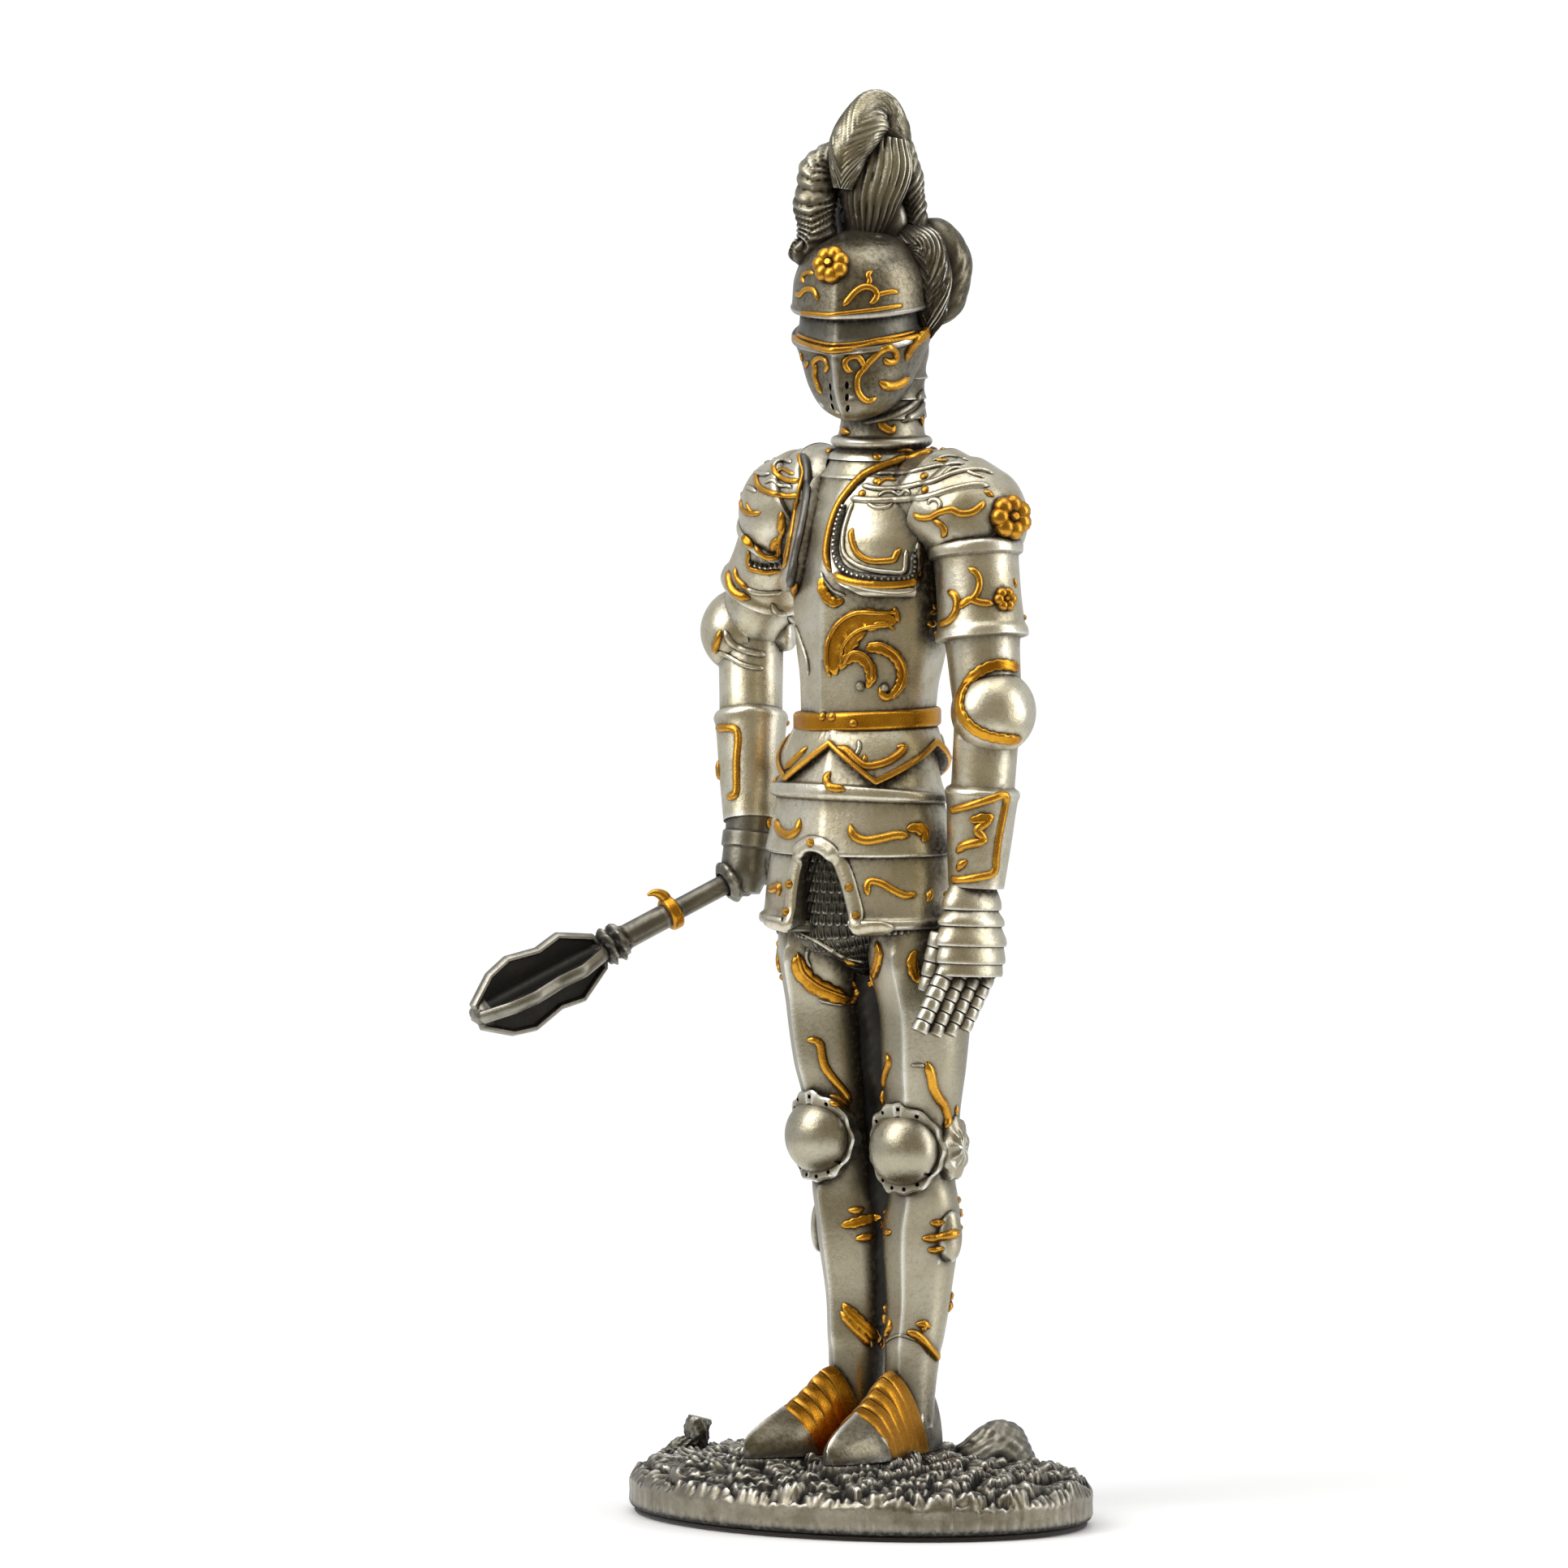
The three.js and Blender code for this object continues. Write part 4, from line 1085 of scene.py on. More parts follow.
def tufts(x, y):
    """Cast grass: each tuft is a clump of strands that rises outwards and breaks off over the next."""
    away = np.stack([x, y], -1)[:, None] - SEEDS[None, :, :2]
    near = np.linalg.norm(away, axis=-1)
    order = np.argsort(near, axis=1)[:, :2]
    mine = order[:, 0]
    rows = np.arange(len(x))
    gap = near[rows, order[:, 1]] - near[rows, mine]
    turn = np.arctan2(SEEDS[mine, 1], SEEDS[mine, 0]) + SEEDS[mine, 2]
    offset = away[rows, mine]
    ahead = offset[:, 0] * np.cos(turn) + offset[:, 1] * np.sin(turn)
    across = offset[:, 1] * np.cos(turn) - offset[:, 0] * np.sin(turn)
    strands = np.abs(np.cos(pi * (across + 0.22 * np.sin(1.5 * ahead + mine)) / STRAND)) ** 0.75
    crowded = np.clip(gap / 0.9, 0, 1)
    return 0.36 * np.clip(ahead, -1.8, 1.7) + 0.56 * (strands - 0.6) * crowded - 0.6 * (1 - crowded) ** 2


def print_share(x, y, side):
    """How far inside the hollow under a shoe a place is, from none at its edge and outside it to one."""
    halves = [(-5.0, 1.2), (-4.2, 2.6), (-3.2, 3.5), (3, 3.9), (7, 4.2), (12, 4.3), (17, 3.0), (20.4, 0.9)]
    away = np.stack([x - side * FOOT_ASIDE, y - FOOT_BACK, 0 * x], -1)
    ahead = away @ facing(side * TOE_TURN)
    half = read_off(ahead, halves, left=-1, right=-1)
    return np.clip(half - np.abs(away @ beside(side * TOE_TURN)), 0, 1)


def drape(angle):
    """How far the strands that hang over the rim raise or lower its upper edge."""
    comb = np.abs(np.sin(52 * angle + 3 * np.sin(5 * angle)))
    return 0.35 * np.sin(6 * angle + 1) * np.sin(11 * angle) + 0.3 * comb - 0.35


def ground(x, y):
    """The height of the rough ground at places on the base."""
    out = np.minimum(1, np.hypot(x / BASE_WIDE, y / BASE_DEEP))
    rise = 0.9 + (SOLE - RIM_TOP - 0.9) * (1 - out**2) ** 0.7
    swell = 0.3 * np.sin(1.3 * x + 2.1 * np.sin(0.7 * y)) * np.cos(1.1 * y + 1.4 * np.sin(0.5 * x))
    edge = RIM_TOP + drape(np.arctan2(y / BASE_DEEP, x / BASE_WIDE))
    height = edge + (rise + swell + tufts(x, y)) * np.minimum(1, (1 - out) * 32)
    for side in (LEFT, RIGHT):
        inside = print_share(x, y, side)
        height = np.where(inside > 0, height + np.minimum(1, inside * 3) * (SOLE - 0.12 - height), height)
    return height


def mound():
    around = 640
    angle = circle(around)
    edge = oval(BASE_WIDE, BASE_DEEP, around)
    grooves = [[noise.noise((a * 26, 0, 0)) + 0.6 * noise.noise((a * 70, 4, 0))] for a in angle]
    grooves = np.array(grooves)
    rings = []
    for share, z, rough in (
        (0.98, FELT_TOP, 0),
        (0.992, FELT_TOP + 0.2, 0.3),
        (0.997, FELT_TOP + 0.7, 1),
        (0.995, (FELT_TOP + RIM_TOP) / 2, 1),
        (0.996, RIM_TOP - 0.9, 1),
        (0.999, RIM_TOP - 0.5, 0.4),
        (0.998, RIM_TOP - 0.1, 0.2),
    ):
        ring = edge * (share - 0.005 * rough * (grooves - 0.2)) + UP * z
        ring[:, 2] += drape(angle) * (z > RIM_TOP - 1)
        rings.append(ring)
    for share in np.linspace(0.992, 0.004, 108):
        ring = edge * share
        rings.append(np.stack([ring[:, 0], ring[:, 1], ground(ring[:, 0], ring[:, 1])], -1))
    return skin(rings)


def rough_stone(distance, angle):
    """Chipped facets on the boulder and the stump."""
    chips = 0.22 * np.sin(3 * angle + 0.9 * distance) * np.cos(1.3 * distance)
    flakes = 0.24 * np.abs(np.sin(4 * angle - 1.7 * distance))
    flakes = flakes + 0.2 * np.abs(np.sin(6 * angle + 2.6 * distance))
    return chips + flakes - 0.2


def base():
    rock = [
        [11.8, 12.2, 4, 5.6, 5.0],
        [11.8, 12.2, 7, 5.3, 4.6],
        [11.6, 12.4, 8.6, 4.7, 3.9],
        [11.2, 12.6, 10, 3.7, 3.0],
        [10.6, 12.8, 10.9, 2.2, 1.9],
        [10.4, 12.8, 11.3, 1.0, 0.9],
    ]
    stump = [[-26.9, 0.6, 4, 1.9], [-26.8, 0.6, 7, 1.35], [-26.6, 0.8, 10.2, 1.5], [-26.5, 0.9, 10.7, 1.3]]
    log = [[-26.6, 0.4, 7.8, 0.9], [-28.0, -1.2, 6.9, 1.0], [-29.6, -2.6, 5.4, 0.9]]
    boulder = sweep(rock, around=64, step=0.25, front=facing(25), carve=rough_stone, finish=STONE)
    woods = [sweep(wood, around=32, step=0.25, carve=rough_stone, finish=STONE) for wood in (stump, log)]
    return [mound(), boulder, *woods]


def felt():
    round_edge = [(1.0, 0.0), (0.35, 0.0), (0.08, 0.08), (0.0, 0.25), (0.08, 0.42), (0.35, 0.5), (1.0, 0.5)]
    wide, deep = BASE_WIDE - FELT_INSET, BASE_DEEP - FELT_INSET
    return skin([oval(wide - inset, deep - inset, 180) + UP * z for inset, z in round_edge])


# Relief laid on the figure. Its places are given as seen by a viewer: [aside, height] in millimetres in
# the upright plane through the middle of the base.

# The viewer: how far round from the front and up, how far away, how far aside, and the height aimed at
VIEW_AZIMUTH = 38
VIEW_PITCH = radians(4.3)
VIEW_AWAY = 2000
VIEW_ASIDE = -9.6
VIEW_AIM = 92.7


def view_axes(azimuth):
    """The ways right, up, and back to the viewer."""
    turn = radians(azimuth)
    back = vec(sin(turn) * cos(VIEW_PITCH), -cos(turn) * cos(VIEW_PITCH), sin(VIEW_PITCH))
    right = vec(cos(turn), sin(turn), 0)
    return right, np.cross(back, right), back


def viewer(azimuth, aside):
    right, _, back = view_axes(azimuth)
    return UP * VIEW_AIM + right * aside + back * VIEW_AWAY


def seen(surface, x, z, azimuth=VIEW_AZIMUTH):
    """The place and normal of the surface that a viewer sees there, or nothing."""
    right, up, _ = view_axes(azimuth)
    eye = viewer(azimuth, VIEW_ASIDE if azimuth == VIEW_AZIMUTH else 0)
    target = UP * VIEW_AIM + right * x + up * (z - VIEW_AIM)
    place, normal, *_ = surface.ray_cast(Vector(eye), Vector(unit(target - eye)))
    return (np.array(place), np.array(normal)) if place else None


def smooth_line(points, step):
    """Points on a curve through the given ones, a step apart."""
    points = np.array(points, float)
    ends = np.vstack([2 * points[0] - points[1], points, 2 * points[-1] - points[-2]])
    fine = []
    for a, b, c, d in zip(ends, ends[1:], ends[2:], ends[3:]):
        t = np.linspace(0, 1, max(2, ceil(np.linalg.norm(c - b) / step)), endpoint=False)[:, None]
        bend, twist = 2 * a - 5 * b + 4 * c - d, 3 * b - a - 3 * c + d
        fine.append(0.5 * (2 * b + (c - a) * t + bend * t**2 + twist * t**3))
    return np.vstack([*fine, points[-1:]])


def settled(values, width):
    """Values along a line, each the mean of those near it."""
    padded = np.concatenate([values[:1].repeat(width, 0), values, values[-1:].repeat(width, 0)])
    return sum(padded[n : n + len(values)] for n in range(2 * width + 1)) / (2 * width + 1)


def runs(hits, jump=1.2):
    """Unbroken stretches of a line of hits, cut where it misses or leaps to another surface."""
    stretch = []
    for hit in [*hits, None]:
        if hit is None or (stretch and np.linalg.norm(hit[0] - stretch[-1][0]) > jump):
            if len(stretch) > 4:
                yield np.array([h[0] for h in stretch]), np.array([h[1] for h in stretch])
            stretch = []
        if hit is not None:
            stretch.append(hit)


# How far the underside of a strip lies in the metal, and the width from which a strip is a leaf
SINK = 0.3
LEAF_WIDE = 1.35


def ribbon(places, normals, wide, finish=GILT, leaf=None):
    """A raised half-round strip along a line on a surface. A wide one is a leaf: lobed, with a vein."""
    leaf = wide >= LEAF_WIDE if leaf is None else leaf
    places = settled(places, 1)
    normals = unit(settled(normals, 4))
    arc = travelled(places)
    ahead = unit(np.gradient(places, axis=0))
    across = np.cross(ahead, normals)
    half = np.full(len(arc), wide / 2)
    blunt = max(wide * (1.1 if leaf else 0.8), 0.3)
    half *= np.sqrt(np.clip(np.minimum(arc + 0.06, arc[-1] - arc + 0.06) / blunt, 0, 1))
    if leaf:
        half *= 0.88 + 0.24 * np.abs(np.sin(pi * arc / (wide * 0.8)))
    phi = circle(14 if wide > 1.3 else 8)
    bulge = np.maximum(0, np.sin(phi)) ** (0.6 if leaf else 1)
    if leaf:
        bulge = bulge * (1 - 0.4 * np.exp(-(((phi - pi / 2) / 0.3) ** 2)))
    high = np.minimum(half * 2, 1.3)[:, None] * 0.42
    lift = bulge * high - SINK * np.clip(-np.sin(phi) * 2, 0, 1)
    out = across[:, None] * (half[:, None] * np.cos(phi))[..., None] + normals[:, None] * lift[..., None]
    return skin(places[:, None] + out, finish)


def drawn(surface, strokes, azimuth=VIEW_AZIMUTH, mirror=1):
    """The strips of a list of strokes, as a viewer sees them. From elsewhere than the front view, only
    where that view doesn't see them."""
    front = view_axes(VIEW_AZIMUTH)[2]
    shells = []
    for wide, line, *finish in strokes:
        hits = [seen(surface, x * mirror, z, azimuth) for x, z in smooth_line(line, 0.25)]
        if azimuth != VIEW_AZIMUTH:
            hits = [h if h is not None and h[1] @ front < 0.1 else None for h in hits]
        for places, normals in runs(hits):
            shells.append(ribbon(places, normals, wide, *finish))
    return shells


def studded(surface, places, radius, finish=GILT, high=0.28):
    """Rivet heads where a viewer sees them."""
    hits = [seen(surface, x, z) for x, z in places]
    return [bead(*hit, radius, high, finish) for hit in hits if hit is not None]


# The groove along the border of the left wing
WING_GROOVE = [
    (-2.8, 125.2), (-3.15, 122.7), (-3, 121.2), (-2.3, 119.9), (-0.9, 119), (1.2, 118.6), (3.5, 118.4),
    (5.9, 118.6), (6.6, 119.4), (6.75, 122),
]
# Strokes as (width, line of places, finish), gilt where no finish is given
HELMET_STROKES = [
    (0.9, [(-8.5, 149), (-7.4, 148.2), (-5.5, 147.6), (-3.6, 147.2), (-0.9, 147.5), (2.4, 148.1),
        (5.4, 148.6), (7.5, 149.2), (9, 150)]),
    (0.6, [(-8, 149.2), (-7.2, 148.8), (-5.2, 148.2), (-3.5, 147.9), (-0.9, 148), (2.4, 148.6),
        (5.4, 149.2), (7, 149.6)]),
    (0.9, [(-0.9, 144.5), (-1.6, 144.7), (-2, 145.6), (-1.4, 146.3), (-0.3, 146.4), (0.3, 145.6),
        (0.5, 144.8)]),
    (1, [(0, 144.1), (0.8, 145.4), (2.3, 146.8), (3.6, 147.5), (4.5, 146.9), (4.4, 145.9), (3.4, 145.7),
        (2.9, 146.3)]),
    (0.9, [(0.5, 145), (-0.3, 143.9), (-0.4, 142.5), (0.1, 141.4), (1, 140.8), (2.1, 141.3)]),
    (1.4, [(9, 150), (7.5, 148.8), (6.2, 147.3), (5.7, 145.8)]),
    (1.3, [(2.3, 143.3), (3.5, 142.7), (4.9, 142.9), (6.2, 143.8)]),
    (0.8, [(-5.5, 144.7), (-5.9, 145.6), (-5.2, 146.3), (-4.4, 146), (-4.1, 145.1), (-4.6, 144.4)]),
    (0.9, [(-5.5, 145.5), (-5.7, 144.1), (-5.2, 142.5), (-4.8, 141.7)]),
    (0.7, [(-7.6, 147.1), (-7.3, 146.3), (-7.4, 145.5), (-6.9, 145.2), (-6.5, 145.9)]),
    (0.8, [(-8.2, 154.4), (-7.6, 154.1), (-7, 154.8), (-6.2, 154.9), (-5.6, 154.4), (-5.3, 153.4)]),
    (0.7, [(-7, 155.6), (-7.3, 156.4), (-6.6, 157), (-5.8, 156.8)]),
    (0.9, [(-2.2, 152.7), (-1.4, 153.7), (-0.5, 154.7), (0.6, 155.2), (1.7, 154.9), (2.1, 154.1),
        (1.6, 153.3), (1.1, 153.1)]),
    (0.7, [(1.7, 154), (3, 154.4), (4.3, 154.6), (4.9, 154.4)]),
    (0.75, [(0.8, 155.2), (1.2, 156), (0.9, 156.7), (1.6, 157.2)]),
    (0.6, [(-7.6, 151.9), (-5.5, 151.8), (-3.9, 151.7), (-0.9, 152), (2.4, 152.4), (5.4, 152.9)]),
]
SHOULDERS_STROKES = [
    (1, [(8.1, 142.4), (6.4, 140.3), (3.5, 138.9), (0.3, 138.1)], BARE),
    (1, [(8.0, 140.7), (7.1, 139.3), (5.1, 138.2)], BARE),
    (0.9, [(8.1, 139.1), (7.5, 138.1)], BARE),
    (1.2, [(2.2, 138.6), (2.9, 137.6), (3.9, 137.1), (4.4, 137.9)]),
    (1.1, [(-3, 138.4), (-2.5, 137.2), (-1.2, 136.8)]),
    (1, [(7.6, 138.9), (7.8, 137.6)]),
    (1.2, [(13.5, 135.2), (11, 135.2), (7.9, 134.3), (5.1, 133.5), (2.4, 132.6), (0.2, 131.4),
        (-1.4, 129.7), (-2.8, 127.7), (-3.7, 125.3), (-4.2, 122.7), (-4.2, 121), (-3.4, 119.2),
        (-1.7, 118.3), (0.8, 117.8), (3.5, 117.7), (6.2, 118), (7.2, 118.6), (7.4, 120.6), (7.6, 122.7)]),
    # A near-black strip along the wing's groove: painted shade in the groove.
    (1.15, [(-2, 127.6), *WING_GROOVE], DARK),
    (0.7, [(-0.9, 128.2), (-1.7, 126), (-2.2, 123.8), (-2, 121.6), (-0.6, 120.3), (1.3, 119.6),
        (3.5, 119.3), (5.4, 119.3), (5.7, 121.1), (5.8, 122.2)], BARE),
    (0.9, [(-0.9, 124.9), (-1.2, 124.1), (-0.9, 122.7), (-0.3, 121.6), (1, 120.8), (2.7, 120.7),
        (4.2, 120.9), (4.5, 121.6), (5.2, 122.3)]),
    (1, [(7.1, 117.2), (7.2, 120), (7.3, 123.2)], BARE),
    (0.8, [(7.2, 117.2), (4.5, 116.9), (1.5, 117.2), (-1, 117.8), (-2.9, 118.6)], BARE),
    (0.95, [(-1.3, 128.6), (1, 128.4), (3.8, 128.4), (6.8, 128.6), (8.7, 128.9), (10.6, 129.5), (12.5, 130),
        (14.4, 130.3), (16.3, 130.2)], BARE),
    (0.85, [(-0.1, 130.4), (1.7, 129.9), (3.6, 129.8), (5.5, 130), (7.4, 130.4), (9.3, 130.8),
        (11.2, 131.6), (13.1, 132.1), (15, 132.2), (16.8, 131.7)], BARE),
    (0.75, [(1.9, 131.7), (3.6, 131.7), (5.5, 131.8), (7.4, 132.2), (9.3, 132.6), (11.2, 132.9),
        (13.1, 133)], BARE),
    (0.6, [(9.9, 130.9), (11.2, 132.2), (12.5, 132.4), (14.3, 131.6), (15.7, 131.2)], BARE),
    (0.55, [(9, 133.3), (10.6, 133.9), (12.2, 133.8), (13.6, 133.3)], BARE),
    (0.6, [(2.1, 130.2), (3.1, 131), (4.6, 130.9)]),
    (0.6, [(9.3, 133.6), (10.4, 133.3), (11.1, 133.5)]),
    (0.55, [(2.2, 128.8), (3, 129.4), (4.2, 129.4), (5, 129), (5.7, 129.7), (6.4, 129.1)], BARE),
    (0.55, [(0.8, 128.1), (2, 127.4), (3.6, 127.6), (4.1, 128.1)], BARE),
    (0.95, [(6.6, 126.8), (7.3, 126.2), (8.7, 126.2), (9.8, 126.8), (11.4, 127.2), (12.5, 126.7),
        (13.9, 126.8), (15, 127.5), (15.7, 128.3)]),
    (0.65, [(9.6, 127.1), (10.1, 127.8), (9.5, 128.5), (8.7, 128.3), (8.5, 127.7)], BARE),
    (0.9, [(9, 125.9), (10.1, 125.3), (10.6, 124.4), (10.2, 123.6)]),
    (1.3, [(-7.4, 134.3), (-6.7, 132.3), (-6.7, 129.8), (-7, 127.1), (-7.6, 124.1), (-8.2, 121.4),
        (-8.7, 118.4), (-8.9, 117.4)], DARK),
    (0.85, [(-8.8, 117.4), (-10.7, 116.7), (-12.9, 116.7), (-14.5, 117.3)], BARE),
    (0.8, [(-14, 122.1), (-14, 120), (-12.9, 119.5), (-11.3, 119.3), (-9.6, 120), (-8.9, 122.7),
        (-8, 128.5)]),
    (0.8, [(-13.3, 122.7), (-12.5, 121.6), (-11.5, 121.1), (-10.4, 121.4), (-10.2, 123.3), (-9.6, 124.9),
        (-9.9, 126.3)]),
    (1.2, [(-16.7, 119.5), (-16.3, 117.5), (-15.4, 116.5), (-13.7, 116)]),
    (0.9, [(-15.8, 120), (-15.4, 118.4), (-14, 117.1)]),
    (0.8, [(-13.2, 131.8), (-12.8, 130.1), (-11.3, 129.3), (-9.3, 128.9), (-7.7, 129)]),
    (0.75, [(-11, 133.1), (-10.7, 131.8), (-9.3, 130.9), (-7.4, 130.8)]),
    (0.75, [(-15.1, 128.7), (-14.8, 127.1), (-13.7, 126.7), (-12.5, 126.8)]),
    (0.9, [(4.5, 134.5), (5.6, 134.7), (6.8, 134.4)]),
    (0.9, [(15.5, 129.6), (16.8, 128.8)]),
    (0.6, [(-7.8, 134.3), (-7.5, 133), (-7.2, 131.8), (-7.7, 129.8), (-8.1, 127.5), (-8.6, 125.3),
        (-9.1, 123), (-9.6, 120.8)]),
    (0.75, [(-11.1, 132.2), (-10.6, 133.1), (-9.6, 133.4), (-8.6, 133.1)], BARE),
    (0.7, [(-13.4, 131.9), (-12.4, 131.6), (-11.3, 131.7)], BARE),
    (0.55, [(-10.6, 131.7), (-9.8, 132.3), (-9, 131.9), (-8.3, 131.6)]),
    (0.6, [(-12.1, 130.5), (-11, 130.9), (-10.2, 130.2), (-9.2, 130.2), (-8.5, 129.9)], BARE),
    (0.55, [(-14.4, 128.1), (-13.9, 127.1), (-13.2, 126.5)]),
    (0.7, [(-15.5, 129.6), (-14.2, 130), (-13, 129.4)], BARE),
    (1.2, [(-9.9, 127), (-9.9, 125.6), (-10.2, 124.2)]),
    (1.2, [(-10.3, 123.7), (-10.8, 122.8), (-11.1, 121.9)]),
    (1.5, [(-14.9, 123.9), (-14.1, 123.1), (-13.4, 122.4)]),
]
CHEST_STROKES = [
    (2.7, [(4.7, 113.2), (2.4, 113.3), (-0.1, 113.3), (-2, 112.1), (-3.1, 110.2), (-3.4, 108.3),
        (-3.1, 106.3)]),
    (2.1, [(0.8, 112.1), (-0.9, 111), (-1.4, 109.4), (-0.9, 108.5)]),
    (1.5, [(-2.6, 107), (-1.7, 108.4), (-0.2, 108.7), (1, 107.7), (1.4, 106.2), (0.8, 104.7)]),
    (1.5, [(0.5, 109.6), (2.4, 109.8), (4.2, 108.9), (5.1, 107.4), (5.1, 105.5), (4, 104)]),
    (1.1, [(5.1, 105.5), (4.6, 104.7), (3.5, 103.6), (2.8, 103.9), (2.5, 105.1)]),
    (0.9, [(4.3, 115), (4.5, 114), (4.9, 112.9)]),
    (1.4, [(-4.8, 118.8), (-4.8, 117.5), (-4.2, 116.2), (-3.1, 115.5), (-2, 115.9)]),
    (0.55, [(-5, 119.5), (-4.6, 118.4), (-3.3, 116.9), (-1.8, 116.4)], BARE),
    (1.1, [(-8, 118.1), (-8.3, 117), (-8.2, 115.9)]),
    (0.85, [(-11.1, 115.5), (-10.6, 114.3), (-9.3, 113.9), (-8.2, 112.6), (-7.4, 110.4), (-6.7, 108.3),
        (-6.5, 106.3)], BARE),
    (1.2, [(-9.8, 110), (-9.5, 108.5), (-8.8, 106.6), (-8.4, 105), (-7.8, 104.4)]),
    (1, [(-9.3, 109.9), (-8.4, 108.8), (-7.4, 107.4)]),
]
ARMS_STROKES = [
    (0.9, [(13.5, 119.9), (14.6, 119.2), (15, 117.8), (14.4, 116.3), (13.1, 115.4), (12.2, 114.7)]),
    (1.1, [(10.9, 117), (12, 116.2), (12, 114.5), (11.1, 113.2), (9.8, 112.8), (8.3, 112.9)]),
    (1, [(12.2, 114.7), (13.6, 115.9), (15.2, 115.5), (16.9, 115.4)]),
    (0.8, [(9.1, 115.4), (9.5, 114.5), (8.7, 114.1)]),
    (0.8, [(19.3, 118.6), (19.6, 117.3)]),
    (1.45, [(20, 107.3), (17.4, 107.7), (15, 106.8), (13.2, 105), (12.5, 102.8), (13.1, 100.9),
        (14.7, 99.4), (16.9, 98.6), (20.3, 98.2)]),
    (0.95, [(-17.1, 112.1), (-16.2, 110.4), (-14.3, 109.4), (-11.8, 108.9)], BARE),
    (0.75, [(-18.1, 109.4), (-16.7, 108.8), (-14.5, 107.6), (-12.1, 107.2)], BARE),
    (1.1, [(-17.5, 112.1), (-18.1, 110.2), (-18.4, 109.1)]),
    (1.05, [(-18.4, 99.7), (-16, 99.7), (-15.4, 98.6), (-15.6, 95.6), (-15.6, 92), (-15.9, 91.2),
        (-16.9, 91.1)]),
    (1.05, [(11.1, 89.3), (13.5, 89.9), (16.2, 90.7), (18.3, 91.3), (18, 89), (17.4, 86), (17.1, 83.7),
        (16.8, 81.6), (15, 81), (12.9, 80.7), (11.2, 80.7)]),
    (1.35, [(13.6, 88.1), (15.3, 88.4), (16.8, 88.7)]),
    (1.2, [(16.8, 88.7), (15.6, 87.7), (14.7, 86.8), (16, 85.6)]),
    (1.2, [(16, 85.6), (14.4, 85.3), (12.9, 84.9), (12, 84)]),
    (1.2, [(13.5, 83.1), (12.6, 82.5), (12.1, 81.7)]),
]
SKIRT_STROKES = [
    (1.15, [(-3, 97.3), (-1.8, 97), (-0.7, 95.9), (0.6, 95), (2.4, 95.2), (3.9, 95.8), (5.2, 96.8),
        (5.5, 97.3), (4.5, 97.4)]),
    (0.65, [(-0.7, 96.1), (-0.1, 97.3), (-0.3, 98.3)], BARE),
    (0.75, [(0.6, 95.2), (0.5, 96.5)]),
    (1.1, [(-9.6, 94.4), (-8.4, 95.6), (-7.2, 96.8), (-6.6, 97.3)]),
    (1.1, [(-3.7, 94.3), (-4.3, 93.5), (-4, 92.5), (-3, 92.2), (-1.8, 92)]),
    (1.2, [(-10.6, 88.3), (-10.2, 86.9), (-9, 86.3), (-7.9, 86.9), (-7.6, 88.4)]),
    (1, [(-11.4, 88.6), (-11.5, 86.9)]),
    (1.2, [(-1.3, 87.7), (-0.9, 86.3), (0.6, 85.6), (2.7, 85.9), (4.5, 86.3), (6.3, 86.2)]),
    (1.7, [(5.7, 86.9), (6.9, 87.2), (8.1, 86.6), (7.8, 85.3)]),
    (1, [(1, 78.6), (0.8, 79.8), (1.3, 80.5), (2.7, 80.2), (4.2, 79.3), (5.7, 78.7), (7.2, 78.9)]),
    (1.1, [(9, 79.6), (8.4, 77.8)]),
    (1.2, [(-12.1, 78.9), (-12, 79.8), (-11.1, 79.5), (-10.2, 79.8), (-10.3, 78.6)]),
    (0.75, [(-7.8, 74.2), (-5.7, 73.2), (-3.3, 71.7), (-1.5, 70.8), (0.8, 70.4)], BARE),
]
